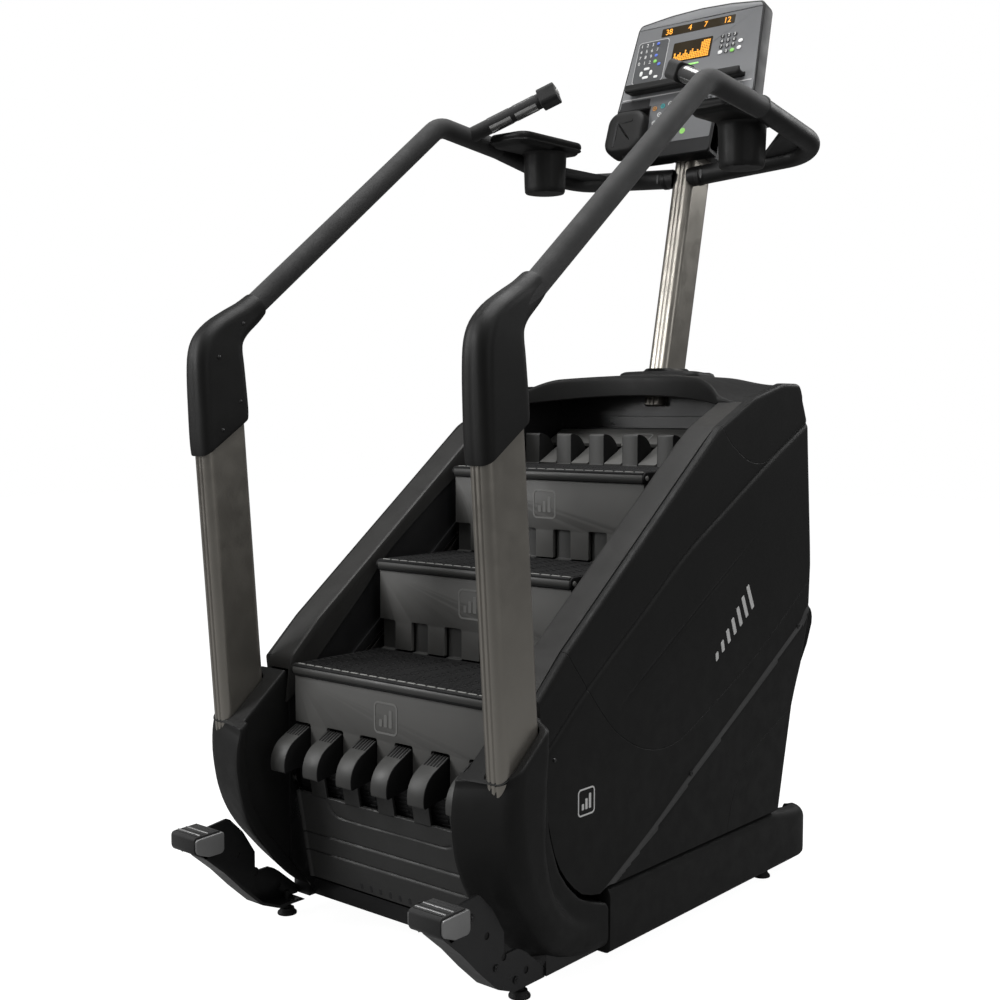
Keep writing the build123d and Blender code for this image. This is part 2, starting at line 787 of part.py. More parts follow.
BOOT = [
    (-492, 436, 8),
    (-362, 552, 8),
    (-342, 453, 40),
    (-330, 335, 60),
    (-298, 240, 40),
    (-227, 168, 50),
    (-168, 148, 20),
    (-150, 110, 10),
    (-150, 26, 6),
    (-207, 24, 20),
    (-306, 54, 60),
    (-384, 108, 60),
    (-454, 205, 60),
    (-472, 290, 60),
    (-489, 350, 60),
]
BOOT_X = (311.0, 392.0)
BOOT_BULGE = [
    (-492, 436, 12),
    (-370, 545, 12),
    (-352, 450, 40),
    (-352, 300, 60),
    (-372, 190, 40),
    (-420, 162, 30),
    (-454, 205, 60),
    (-472, 290, 60),
    (-489, 350, 60),
]
BULGE_X = 432.0


def boot_envelope():
    """Outer form of a boot: a flat side that swells out round the column."""
    bulge = slab(BOOT_BULGE, BOOT_X[1] - 20, BULGE_X)
    bulge = fillet(bulge.faces().sort_by(Axis.X)[-1].edges(), 10)
    return slab(BOOT, *BOOT_X) + bulge


def boot():
    """Moulded cover round the foot of a column, hollow, with a raised rim on top."""
    hollow = shrunk_slab(BOOT, WALL, BOOT_X[0] - 1, BOOT_X[1] - WALL)
    neck = shrunk_slab(BOOT_BULGE, WALL, BOOT_X[0] + 10, BULGE_X - WALL)
    shell = boot_envelope() - hollow - neck - upright_post(0, 180, 700)
    return shell - block(RAIL_X, (-310, 0), RAIL_Z)


def kick_panel():
    """Plate at the foot of the stairs with three grooves and rolled side rims."""
    lower, upper = (-340.0, 95.0), (-377.0, 292.0)
    rise = upper[1] - lower[1]
    turn = degrees(atan2(rise, upper[0] - lower[0]))
    length = 201.0
    plate = turned(block((-RISER_HALF, RISER_HALF), (0, length), (-7, 0)), *lower, turn)
    for distance in (62, 104, 158):
        groove = block((-155, 155), (distance, distance + 6), (-2, 1))
        plate -= turned(groove, *lower, turn)
    for x in (-RISER_HALF, RISER_HALF - 10):
        rim = block((x, x + 10), (0, length), (0, 3))
        plate += turned(rim, *lower, turn)
    ears = block((RISER_HALF, FRAME_PLATE_X[0]), (25, 140), (-7, 0))
    return [plate, *pair(turned(ears, *lower, turn))]


# ---- foot pegs ----
PEG_ARM = [
    (-600, 192, 10),
    (-545, 144, 30),
    (-500, 98, 20),
    (-448, 50, 20),
    (-400, 30, 20),
    (-310, 30, 0),
    (-310, 48, 0),
    (-372, 101, 30),
    (-408, 118, 20),
    (-462, 205, 30),
    (-500, 243, 16),
    (-556, 236, 20),
]


def peg_bracket():
    """Plate with lightening holes on a bent flange that follows its lower edge."""
    plate = slab(PEG_ARM, 350, 356)
    for y, z in ((-478, 160), (-430, 106), (-366, 62)):
        plate -= bar_x(y, z, 7, 349, 357)
    flange = slab(PEG_ARM, 306, 350) - shrunk_slab(PEG_ARM, 6, 305, 351)
    flange &= slab([(-620, 215, 0), (-310, 20, 0), (-310, 44, 0), (-390, 44, 0), (-590, 215, 0)], 300, 352)
    hole = Pos(*FRONT_FOOT, 30) * Cylinder(STUD_R + RUNNING_GAP, 40)
    return plate + flange - hole - block((300, 360), (-430, -300), (110, 400)) - boot_envelope()


def foot_peg():
    """Round-fronted step pad over a metal body."""
    body_corners = [
        (PEG_Y[0], 206, 14),
        (PEG_Y[0], 232, 6),
        (PEG_Y[1], 232, 6),
        (PEG_Y[1], PEG_Z[0], 10),
        (PEG_Y[0] + 34, PEG_Z[0], 12),
    ]
    body = slab(body_corners, *PEG_X)
    pad = slab(
        [(PEG_Y[0], 232, 0), (PEG_Y[0], 240, 5), (PEG_Y[1], 240, 5), (PEG_Y[1], 232, 0)],
        PEG_X[0] + 2,
        PEG_X[1] - 2,
    )
    arm = slab(PEG_ARM, 306, 356)
    return [body - arm, pad - arm]


# ---- console ----
def console_plane(depth=0.0):
    """Plane on the console's face, local x across and local y up the face."""
    a = radians(CONSOLE_TILT)
    normal = Vector(0, -cos(a), sin(a))
    return Plane(origin=Vector(*CONSOLE_AT) + normal * depth, x_dir=(1, 0, 0), z_dir=normal)


def face_outline():
    arch = [
        Line((-197, 2), (-180, 235)),
        ThreePointArc((-180, 235), (-177, 248), (-166, 256)),
        ThreePointArc((-166, 256), (0, 270), (166, 256)),
        ThreePointArc((166, 256), (177, 248), (180, 235)),
        Line((180, 235), (197, 2)),
        Line((197, 2), (-197, 2)),
    ]
    return make_face(Wire(arch).edges())


def lower_outline():
    return Pos(0, -69) * Rectangle(206, 146)


def console_solid(face, front, back):
    return extrude(console_plane(front) * face, amount=back - front)


def key_hole(at, radius):
    return console_solid(Pos(*at) * Circle(radius), 1, -5)


START_KEY = (15.0, -79.0)
STOP_KEY = (-166.0, 92.0)
KEY_R = 8.0


def console_face():
    face = console_solid(face_outline() + lower_outline(), 0, -FACE_THICK)
    for at in (START_KEY, STOP_KEY):
        face -= key_hole(at, KEY_R + 0.3)
    face -= console_solid(Pos(-5, 150.5) * Rectangle(120, 57), 1, -2)
    face -= console_solid(Pos(0, 217.5) * Rectangle(220, 25), 1, -2)
    return face


def console_back():
    """Rear housing, an open-fronted shell, with the neck that takes the mast."""
    both = face_outline() + lower_outline()
    slab_solid = console_solid(both, -FACE_THICK, -CONSOLE_DEEP)
    cavity = console_solid(offset(both, amount=-WALL), -FACE_THICK, -CONSOLE_DEEP + WALL)
    neck = slab(
        [(690, 1764, 6), (800, 1744, 14), (816, 1860, 40), (812, 1960, 40), (766, 1990, 10), (722, 1840, 0)],
        -58,
        58,
    )
    front = console_solid(Rectangle(500, 700), 60, -CONSOLE_DEEP + WALL)
    return (slab_solid - cavity) + (neck - front) - mast_post(0, 1600, MAST_Z[1])


def console_screen():
    return console_solid(Pos(-5, 150.5) * Rectangle(120, 57), -0.5, -2)


def readout_strip():
    return console_solid(Pos(0, 217.5) * Rectangle(220, 25), -0.5, -2)


def keypad_overlays():
    left = console_solid(Pos(-129, 140) * RectangleRounded(92, 118, 8), 0.8, 0)
    left -= key_hole(STOP_KEY, KEY_R + 0.6)
    right = console_solid(Pos(110, 148.5) * RectangleRounded(62, 62, 6), 0.8, 0)
    media = console_solid(Pos(0, -22) * RectangleRounded(176, 84, 6), 0.8, 0)
    return [left, right, media]


def key(at):
    cap = console_solid(Pos(*at) * Circle(KEY_R), 2, -5 + KEY_TRAVEL + 0.5)
    return cap


def reading_ledge():
    """Rack across the face with an upturned lip."""
    profile = [(0, 46), (30, 40), (34, 58), (28, 60), (26, 52), (0, 62)]
    a = radians(CONSOLE_TILT)
    corners = []
    for out, up in profile:
        y = CONSOLE_AT[1] - cos(a) * out + sin(a) * up
        z = CONSOLE_AT[2] + sin(a) * out + cos(a) * up
        corners.append((y, z, 1.5 if out else 0))
    ledge = slab(corners, -170, 170)
    return ledge - console_solid(Rectangle(600, 600), 0.9, -60)


def accessory_pocket():
    """Pouch-shaped holder beside the lower panel, open at the top, with a slot."""
    shape = RectangleRounded(118, 122, 34)
    outer = console_solid(Pos(-164, -68) * shape, 26, -30)
    outer -= console_solid(Pos(-164, -40) * RectangleRounded(94, 120, 20), 20, -24)
    outer -= console_solid(Pos(-186, -90) * Rectangle(6, 60), 40, 0)
    return outer - console_solid(lower_outline(), 40, -60)


CABLE_R = 1.6
CABLE_ROUTE = [
    (-150, 650, 1767),
    (-150, 651, 1747),
    (-138, 658, 1731),
    (-112, 668, 1727),
    (-96, 673, 1735),
    (-92, 674, 1745.5),
]


def widest_bends(points):
    """For each inner point, the largest arc radius that its two runs allow."""
    radii = []
    for before, here, after in zip(points, points[1:], points[2:]):
        into = Vector(*here) - Vector(*before)
        away = Vector(*after) - Vector(*here)
        half = radians(into.get_angle(away)) / 2
        radii.append(0.45 * min(into.length, away.length) / tan(half))
    return radii


def accessory_cable():
    """Thin lead that hangs in a short bight from the pouch to the housing."""
    cable = tube_along(CABLE_ROUTE, widest_bends(CABLE_ROUTE), CABLE_R)
    return cable - accessory_pocket() - console_back()


def build():
    save("step_treads", visible_treads())
    save("step_risers", visible_risers())
    save("top_step", [top_riser(), *top_tread()])
    save("bottom_step", bottom_tread())
    save("return_steps", return_steps())
    save("drive_shaft", drive_shaft())
    save("idler_shaft", idler_shaft())
    save("motor_shaft", motor_shaft())
    save("step_chains", step_chains())
    save("drive_belt", drive_belt())
    save("shaft_bearings", shaft_bearings())
    save("motor_unit", motor_unit())
    save("controller_box", controller_box())
    save_sides("side_frame", side_frame())
    save("base_frame", base_frame())
    save("wheel_axles", wheel_axles())
    save_sides("transport_wheel", transport_wheel())
    save_sides("front_foot", levelling_foot(FRONT_FOOT, 60))
    save_sides("rear_foot", levelling_foot(REAR_FOOT, 56))
    save_sides("upright", upright())
    save("elbow_inner_shells", pair(elbow_inner()))
    save("elbow_outer_shells", pair(elbow_shell(UPRIGHT_X, UPRIGHT_X + ELBOW_HALF)))
    save_sides("handrail", handrail_tube(RAIL_R - 3))
    save("loop_tubes", pair(loop_with_web()))
    save_sides("hand_grip", hand_grip())
    save("grip_contacts", grip_contacts())
    save_sides("grip_button", grip_button())
    save("cup_holders", pair(cup_holder()))
    save("mast", mast())
    save("mast_collar", mast_collar())
    save_sides("side_panel", side_panel())
    screws = elbow_screws() + panel_screw_shanks(1)
    save("cover_screws", [s for one in screws for s in pair(one)])
    save("slope_caps", pair(slope_cap()))
    save("hood", hood())
    save("rear_panel", rear_panel())
    save("skirts", pair(skirt()))
    save_sides("boot", boot())
    save("kick_panel", kick_panel())
    save("peg_brackets", pair(peg_bracket()))
    save("foot_pegs", [s for one in foot_peg() for s in pair(one)])
    save("console_back", console_back())
    save("console_face", console_face())
    save("console_screen", console_screen())
    save("readout_strip", readout_strip())
    save("keypad_overlays", keypad_overlays())
    save("start_key", key(START_KEY))
    save("stop_key", key(STOP_KEY))
    save("reading_ledge", reading_ledge())
    save("accessory_pocket", accessory_pocket())
    save("accessory_cable", accessory_cable())


os.makedirs("parts", exist_ok=True)
build()
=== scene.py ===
from math import atan2, cos, degrees, exp, pi, radians, sin, sqrt, tan

import bmesh
import bpy
import numpy as np
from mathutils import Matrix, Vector


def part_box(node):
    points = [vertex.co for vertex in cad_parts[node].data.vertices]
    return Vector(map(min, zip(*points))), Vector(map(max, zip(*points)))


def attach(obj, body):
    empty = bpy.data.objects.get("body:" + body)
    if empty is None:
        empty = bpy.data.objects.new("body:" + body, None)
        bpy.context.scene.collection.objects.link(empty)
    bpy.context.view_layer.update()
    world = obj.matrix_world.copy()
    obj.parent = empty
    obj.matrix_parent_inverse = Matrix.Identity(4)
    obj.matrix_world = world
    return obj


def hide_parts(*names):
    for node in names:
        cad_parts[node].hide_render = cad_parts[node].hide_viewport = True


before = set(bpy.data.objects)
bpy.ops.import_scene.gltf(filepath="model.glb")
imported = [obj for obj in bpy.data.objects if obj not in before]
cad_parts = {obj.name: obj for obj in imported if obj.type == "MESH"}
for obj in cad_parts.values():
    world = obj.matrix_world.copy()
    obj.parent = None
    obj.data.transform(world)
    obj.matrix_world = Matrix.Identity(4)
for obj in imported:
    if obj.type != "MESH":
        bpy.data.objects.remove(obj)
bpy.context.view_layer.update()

# Looks of a stair climber. Shapes are drawn in millimetres in machine axes: x across,
# y from the entrance towards the console, z up from the floor. place() puts them in
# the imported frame. Mirrored pieces are drawn on the +x side.

RAIL_FRONT_Y = -310.0
SHIFT_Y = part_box("base_frame")[0].y * 1000 - RAIL_FRONT_Y

# ---- driving dimensions, as in the CAD source ----
STEP_RISE, STEP_RUN = 203.0, 256.5
TREAD_HALF, RISER_HALF = 277.0, 273.0
TREAD_THICK, RISER_THICK = 25.0, 10.0
NOSE_R, NOSE_REACH = 12.5, 8.0
COMB_BAR = 14.0
FINGERS_X = (-250, -150, -50, 50, 150, 250)
LOWEST_NOSE = (-386.0, 568.0)
TOP_HINGE, TOP_NOSE = (391.0, 977.0), (566.0, 1068.0)
BOTTOM_FINGER_FOOT, BOTTOM_TURN = (-371.0, 352.0), 100.7
COLUMN_X, COLUMN_AT, COLUMN_LEAN = 384.5, (-445.5, 547.0), 4.23
COLUMN_TUBE, MAST_TUBE = (26.0, 57.0, 20.0), (30.0, 47.0, 16.0)
MAST_FOOT, MAST_LEAN = (635.0, 1209.0), -12.3
CONSOLE_AT, CONSOLE_TILT = (0.0, 700.0, 1887.0), 18.4
CABLE_R = 1.6
CABLE_ROUTE = [(-150, 650, 1767), (-150, 651, 1747), (-138, 658, 1731), (-112, 668, 1727), (-96, 673, 1735),
               (-92, 674, 1745.5)]


def place(point):
    """A point in machine millimetres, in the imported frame's metres."""
    return Vector((point[0] / 1000, (point[1] + SHIFT_Y) / 1000, point[2] / 1000))


# ---- camera ----
def make_camera():
    data = bpy.data.cameras.new("camera")
    data.lens = 49.21
    data.sensor_width = 36.0
    camera = bpy.data.objects.new("camera", data)
    camera.location = (1.9340, -2.4027, 1.1095)
    camera.rotation_euler = (radians(90 - 3.79), 0, radians(40.29))
    bpy.context.scene.collection.objects.link(camera)
    bpy.context.scene.camera = camera


make_camera()


# ---- materials ----
class Nodes:
    """A node tree being wired up."""

    def __init__(self, tree):
        self.tree = tree

    def add(self, kind):
        return self.tree.nodes.new("ShaderNode" + kind)

    def feed(self, node, label, value):
        """Links an output to an input, or sets the input's value."""
        if isinstance(value, bpy.types.NodeSocket):
            self.tree.links.new(value, node.inputs[label])
        else:
            node.inputs[label].default_value = value

    def math(self, operation, *values):
        node = self.add("Math")
        node.operation = operation
        for i, value in enumerate(values):
            self.feed(node, i, value)
        return node.outputs[0]

    def ramp(self, value, low, high, to_low=0.0, to_high=1.0):
        node = self.add("MapRange")
        node.interpolation_type = "SMOOTHSTEP"
        for i, one in enumerate((value, low, high, to_low, to_high)):
            self.feed(node, i, one)
        return node.outputs[0]

    def noise(self, scale, detail=3.0, roughness=0.55, stretch=None):
        spot = self.add("TexCoord").outputs["Object"]
        if stretch:
            mapping = self.add("Mapping")
            self.feed(mapping, "Scale", stretch)
            self.feed(mapping, "Vector", spot)
            spot = mapping.outputs["Vector"]
        node = self.add("TexNoise")
        for label, value in (("Scale", scale), ("Detail", detail), ("Roughness", roughness),
                             ("Vector", spot)):
            self.feed(node, label, value)
        return node.outputs["Fac"]

    def mix(self, factor, first, second):
        node = self.add("Mix")
        node.data_type = "RGBA"
        self.feed(node, 0, factor)
        for label, value in ((6, first), (7, second)):
            self.feed(node, label, value if isinstance(value, bpy.types.NodeSocket) else (*value, 1.0))
        return node.outputs[2]


def new_material(name):
    """A material with its wiring and its main shader."""
    material = bpy.data.materials.new(name)
    material.use_nodes = True
    return material, Nodes(material.node_tree), material.node_tree.nodes["Principled BSDF"]


def shade(colour, factor):
    return tuple(min(1.0, c * factor) for c in colour)


def finish(
    name,
    colour,
    rough=0.5,
    metallic=0.0,
    specular=0.5,
    grain=900.0,
    grain_height=0.00008,
    mottle=0.1,
    wear=0.25,
    brushed=None,
    sheen=0.0,
    seams=(),
    coat=0.0,
):
    """Surface with colour drift, fine grain, uneven gloss and rubbed edges."""
    material, nodes, shader = new_material(name)
    cloud = nodes.noise(5.0, 4.0)
    speck = nodes.noise(grain, 2.0, 0.6, brushed)
    drift = nodes.mix(nodes.ramp(cloud, 0.3, 0.7), shade(colour, 1 - mottle), shade(colour, 1 + mottle))
    tone = nodes.mix(nodes.ramp(speck, 0.35, 0.65, 0.0, mottle * 1.6), drift, shade(colour, 1.5))
    edge = nodes.add("NewGeometry").outputs["Pointiness"]
    rubbed = nodes.math("MULTIPLY", nodes.ramp(edge, 0.53, 0.62), nodes.ramp(cloud, 0.25, 0.75, 0.4, 1.0))
    tone = nodes.mix(nodes.math("MULTIPLY", rubbed, wear), tone, shade(colour, 2.6))
    gloss = nodes.ramp(nodes.noise(23.0, 3.0), 0.3, 0.7, rough - 0.05, rough + 0.05)
    gloss = nodes.math("SUBTRACT", gloss, nodes.math("MULTIPLY", rubbed, 0.08))
    height = nodes.math("MULTIPLY", speck, grain_height)
    for seam in seams:
        distance = nodes.add("Attribute")
        distance.attribute_name = seam
        near = nodes.ramp(nodes.math("ABSOLUTE", distance.outputs["Fac"]), 0.5, 1.5, 1.0, 0.0)
        tone = nodes.mix(near, tone, shade(colour, 0.25))
        height = nodes.math("SUBTRACT", height, nodes.math("MULTIPLY", near, 0.0012))
    bump = nodes.add("Bump")
    for label, value in (("Strength", 1.0), ("Distance", 1.0), ("Height", height)):
        nodes.feed(bump, label, value)
    for label, value in (("Base Color", tone), ("Roughness", gloss), ("Normal", bump.outputs["Normal"]),
                         ("Metallic", metallic), ("Specular IOR Level", specular), ("Sheen Weight", sheen),
                         ("Coat Weight", coat)):
        nodes.feed(shader, label, value)
    return material


def glow(name, colour, strength):
    """Lit segments behind a tinted window, uneven from one to the next."""
    material, nodes, shader = new_material(name)
    tone = nodes.mix(nodes.ramp(nodes.noise(160.0, 1.0), 0.35, 0.65), shade(colour, 0.8), colour)
    for label, value in (("Base Color", tone), ("Emission Color", tone), ("Emission Strength", strength),
                         ("Roughness", 0.4)):
        nodes.feed(shader, label, value)
    return material


LOOK = {
    "cover": finish("cover_plastic", (0.0115, 0.0115, 0.0113), 0.5, specular=0.25),
    "panel": finish(
        "panel_plastic",
        (0.0105, 0.0105, 0.0103),
        0.5,
        specular=0.22,
        seams=("seam_sweep", "seam_tongue", "seam_arc"),
    ),
    # The slope finish is lighter than the cover plastic: a painted highlight on the upward-facing slope
    # tops.
    "slope": finish("slope_plastic_painted_highlight", (0.026, 0.0255, 0.0245), 0.45, specular=0.4, wear=0.3),
    # Lighter grey for the upward-facing ledge band of the side covers: a painted highlight.
    "strip": finish("ledge_plastic_painted_highlight", (0.045, 0.045, 0.045), 0.5),
    "frame": finish("frame_paint", (0.010, 0.010, 0.0105), 0.38, grain=350.0, wear=0.5, coat=0.2),
    "column": finish(
        "column_metallic",
        (0.36, 0.34, 0.305),
        0.33,
        metallic=0.85,
        grain=240.0,
        grain_height=0.0,
        mottle=0.02,
        wear=0.0,
    ),
    "sleeve": finish("sleeve_rubber", (0.0165, 0.0165, 0.0165), 0.72, specular=0.35, grain=620.0,
                     grain_height=0.00035, mottle=0.16, sheen=0.15),
    "tube": finish("tube_paint", (0.010, 0.010, 0.010), 0.5, specular=0.35, grain=500.0, wear=0.25),
    "riser": finish("riser_plastic", (0.115, 0.114, 0.109), 0.5, mottle=0.06, wear=0.2),
    "riser_mark": finish("riser_mark_plastic", (0.175, 0.174, 0.168), 0.42, mottle=0.06),
    "tread": finish("tread_rubber", (0.007, 0.007, 0.0072), 0.6, specular=0.25, grain=500.0, wear=0.5),
    "nose": finish("nose_plastic", (0.052, 0.052, 0.050), 0.45, mottle=0.08, wear=0.5),
    "nose_rib": finish("nose_rib_plastic", (0.24, 0.24, 0.23), 0.5),
    "finger": finish("finger_plastic", (0.05, 0.05, 0.048), 0.48, mottle=0.08, wear=0.4),
    "kick": finish("kick_plastic", (0.036, 0.036, 0.0352), 0.5, mottle=0.08),
    "rubber": finish("foot_rubber_worn", (0.011, 0.011, 0.011), 0.62, grain=300.0, mottle=0.2),
    "steel": finish("bright_steel", (0.5, 0.5, 0.5), 0.28, metallic=1.0, brushed=(1, 6, 1)),
    "contact": finish("contact_metal", (0.55, 0.55, 0.54), 0.3, metallic=1.0, grain_height=0.00001),
    "chain": finish("oiled_chain", (0.12, 0.115, 0.11), 0.35, metallic=1.0, mottle=0.25),
    "cast": finish("cast_iron", (0.05, 0.05, 0.052), 0.6, metallic=0.6, grain=260.0,
                   grain_height=0.0004, mottle=0.2),
    "belt": finish("belt_rubber_ribbed", (0.02, 0.02, 0.02), 0.7, grain=300.0),
    "motor": finish("motor_paint", (0.09, 0.10, 0.12), 0.45, metallic=0.3),
    "case": finish("case_steel", (0.35, 0.36, 0.37), 0.4, metallic=0.8),
    "peg": finish("peg_alloy", (0.33, 0.33, 0.33), 0.42, metallic=0.55, wear=0.4),
    "face": finish("console_face_film", (0.15, 0.153, 0.158), 0.45, mottle=0.04, grain=1200.0,
                   grain_height=0.00003, wear=0.1),
    "housing": finish("console_housing", (0.014, 0.014, 0.0145), 0.5, specular=0.25),
    "pad_film": finish("keypad_film", (0.07, 0.072, 0.075), 0.38, mottle=0.04, grain_height=0.00002),
    "line": finish("light_line", (0.42, 0.42, 0.42), 0.4, mottle=0.03),
    "glass": finish("screen_glass", (0.03, 0.022, 0.012), 0.14, grain_height=0.0, mottle=0.05, wear=0.0),
    # Black of the real keys and dots; the same black also fills the slots and the pouch recess as painted
    # shade.
    "oval": finish("key_black_and_opening_shade", (0.012, 0.012, 0.013), 0.4),
    "white": finish("key_white", (0.78, 0.78, 0.77), 0.42, mottle=0.03),
    "print": finish("white_print", (0.72, 0.72, 0.71), 0.5, mottle=0.03),
    "green": finish("key_green_plastic", (0.24, 0.62, 0.12), 0.4, mottle=0.05),
    "blue": finish("key_blue_plastic", (0.10, 0.17, 0.62), 0.4, mottle=0.05),
    "red": finish("key_red_plastic", (0.46, 0.03, 0.05), 0.4, mottle=0.05),
    "teal": finish("icon_teal", (0.04, 0.42, 0.45), 0.45, mottle=0.05),
    "orange": finish("icon_orange", (0.75, 0.28, 0.05), 0.45, mottle=0.05),
    "button": finish("button_grey_plastic", (0.42, 0.42, 0.41), 0.45, mottle=0.05),
    "amber": glow("amber_segments", (1.0, 0.40, 0.03), 0.75),
    "lime": glow("lime_lamp", (0.35, 0.9, 0.2), 0.5),
    "cable": finish("cable_sheath", (0.010, 0.010, 0.010), 0.5, grain=1500.0),
}


# ---- cable ----
def make_cable():
    curve = bpy.data.curves.new("accessory_lead", "CURVE")
    curve.dimensions = "3D"
    curve.bevel_depth = CABLE_R / 1000
    curve.bevel_resolution = 4
    curve.resolution_u = 16
    curve.use_fill_caps = True
    line = curve.splines.new("NURBS")
    line.points.add(len(CABLE_ROUTE) - 1)
    for point, at in zip(line.points, CABLE_ROUTE):
        point.co = (*place(at), 1.0)
    line.order_u = 3
    line.use_endpoint_u = True
    lead = bpy.data.objects.new("accessory_lead", curve)
    bpy.context.scene.collection.objects.link(lead)
    curve.materials.append(LOOK["cable"])
    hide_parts("accessory_cable")
    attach(lead, "frame")


make_cable()


# ---- lines ----
def rounded(corners, closed=True, arc=9.0):
    """Points along an outline of (u, v, radius) corners."""
    points = []
    count = len(corners)
    for i, (u, v, r) in enumerate(corners):
        here = Vector((u, v))
        if not closed and i in (0, count - 1):
            points.append(here)
            continue
        into = (here - Vector(corners[i - 1][:2])).normalized()
        away = (Vector(corners[(i + 1) % count][:2]) - here).normalized()
        turn = atan2(into.cross(away), into.dot(away))
        if not r or abs(turn) < 0.02:
            points.append(here)
            continue
        start = here - into * (r * tan(abs(turn) / 2))
        side = Vector((-into.y, into.x)) * (1 if turn > 0 else -1)
        centre = start + side * r
        steps = max(2, int(abs(degrees(turn)) / arc))
        for k in range(steps + 1):
            a = turn * k / steps
            arm = start - centre
            points.append(centre + Vector((arm.x * cos(a) - arm.y * sin(a),
                                           arm.x * sin(a) + arm.y * cos(a))))
    return [tuple(p) for p in points]


def spaced(points, count, closed=False):
    """The same line as a number of evenly spaced points."""
    line = np.array(points + points[:1] if closed else points, float)
    run = np.concatenate([[0], np.cumsum(np.linalg.norm(np.diff(line, axis=0), axis=1))])
    marks = np.linspace(0, run[-1], count + 1)[:-1] if closed else np.linspace(0, run[-1], count)
    columns = [np.interp(marks, run, line[:, k]) for k in range(line.shape[1])]
    return [tuple(p) for p in np.array(columns).T]


def flowing(points, per_span=8):
    """Smooth line through the points."""
    line = [Vector(p) for p in points]
    line = [line[0] * 2 - line[1], *line, line[-1] * 2 - line[-2]]
    found = []
    for a, b, c, d in zip(line, line[1:], line[2:], line[3:]):
        for k in range(per_span):
            t = k / per_span
            square, cube = 2 * a - 5 * b + 4 * c - d, 3 * b - a - 3 * c + d
            found.append(0.5 * (2 * b + (c - a) * t + square * t**2 + cube * t**3))
    found.append(line[-2])
    return [tuple(p) for p in found]


def inset(line, distance):
    """A closed outline moved inwards."""
    if not distance:
        return list(line)
    points = [Vector(p) for p in line]
    area = sum(a.cross(b) for a, b in zip(points, points[1:] + points[:1]))
    side = 1 if area > 0 else -1
    moved = []
    for i, here in enumerate(points):
        into = (here - points[i - 1]).normalized()
        away = (points[(i + 1) % len(points)] - here).normalized()
        normal = Vector((-into.y - away.y, into.x + away.x))
        if normal.length < 1e-6:
            normal = Vector((-into.y, into.x))
        normal.normalize()
        share = max(0.5, normal.dot(Vector((-into.y, into.x))))
        moved.append(tuple(here + normal * (side * distance / share)))
    return moved


def reach(points, line):
    """Signed distance from each (u, v) point to a line."""
    at = np.array(points, float)
    line = np.array(line, float)
    best = np.full(len(at), 1e9)
    sign = np.ones(len(at))
    for a, b in zip(line, line[1:]):
        ab = b - a
        t = np.clip(((at - a) @ ab) / (ab @ ab), 0, 1)
        gap = np.linalg.norm(at - a - t[:, None] * ab, axis=1)
        nearer = gap < best
        cross = ab[0] * (at[:, 1] - a[1]) - ab[1] * (at[:, 0] - a[0])
        best = np.where(nearer, gap, best)
        sign = np.where(nearer, np.sign(cross), sign)
    return best * sign


# ---- shapes ----
class Shape:
    """Points and faces in machine millimetres, each face with a finish number."""

    def __init__(self, points=(), faces=(), number=0):
        self.points = [tuple(p) for p in points]
        self.faces = [tuple(f) for f in faces]
        self.numbers = [number] * len(self.faces)

    def add(self, other, number=None):
        first = len(self.points)
        self.points += other.points
        self.faces += [tuple(i + first for i in f) for f in other.faces]
        self.numbers += other.numbers if number is None else [number] * len(other.faces)
        return self

    def moved(self, rule):
        made = Shape([rule(*p) for p in self.points], self.faces)
        made.numbers = list(self.numbers)
        return made

    def mirrored(self):
        made = Shape([(-x, y, z) for x, y, z in self.points], [f[::-1] for f in self.faces])
        made.numbers = list(self.numbers)
        return made


def joined(shapes):
    whole = Shape()
    for one in shapes:
        whole.add(one)
    return whole


def skin(rings, closed=True, caps=True):
    """Surface over rings of equal count."""
    count = len(rings[0])
    faces = []
    for r in range(len(rings) - 1):
        for i in range(count if closed else count - 1):
            j = (i + 1) % count
            faces.append((r * count + i, r * count + j, (r + 1) * count + j, (r + 1) * count + i))
    if caps:
        faces.append(tuple(range(count))[::-1])
        faces.append(tuple(range((len(rings) - 1) * count, len(rings) * count)))
    return Shape([p for ring in rings for p in ring], faces)


def across(u, v, w):
    return (w, u, v)


def upward(u, v, w):
    return (u, v, w)


def on_face(u, v, w):
    """Console axes: across, up the face, out of it."""
    a = radians(CONSOLE_TILT)
    return (CONSOLE_AT[0] + u, CONSOLE_AT[1] + sin(a) * v - cos(a) * w,
            CONSOLE_AT[2] + cos(a) * v + sin(a) * w)


def prism(line, low, high, put=across, rim=0.0, steps=3):
    """A closed outline drawn out between two levels, with rounded rims."""
    levels = [(0.0, low), (0.0, high)]
    if rim:
        lower = []
        for k in range(steps + 1):
            a = pi / 2 * k / steps
            lower.append((rim * (1 - sin(a)), rim * (1 - cos(a))))
        levels = [(d, low + h) for d, h in lower] + [(d, high - h) for d, h in lower[::-1]]
    rings = [[put(u, v, level) for u, v in inset(line, d)] for d, level in levels]
    return skin(rings)


def oblong(u, v, radius=0.0, arc=9.0):
    """Outline of a rounded rectangle between two pairs of limits."""
    return rounded([(u[0], v[0], radius), (u[1], v[0], radius), (u[1], v[1], radius), (u[0], v[1], radius)],
                   arc=arc)


def disc(at, radius, count=32):
    return [(at[0] + radius * cos(2 * pi * k / count), at[1] + radius * sin(2 * pi * k / count))
            for k in range(count)]


def turning(profile, put, count=48):
    """Surface of revolution of (radius, level) points; put takes local x, y, level."""
    rings = []
    for radius, level in profile:
        ring = [put(radius * cos(2 * pi * k / count), radius * sin(2 * pi * k / count), level)
                for k in range(count)]
        rings.append(ring)
    return skin(rings)


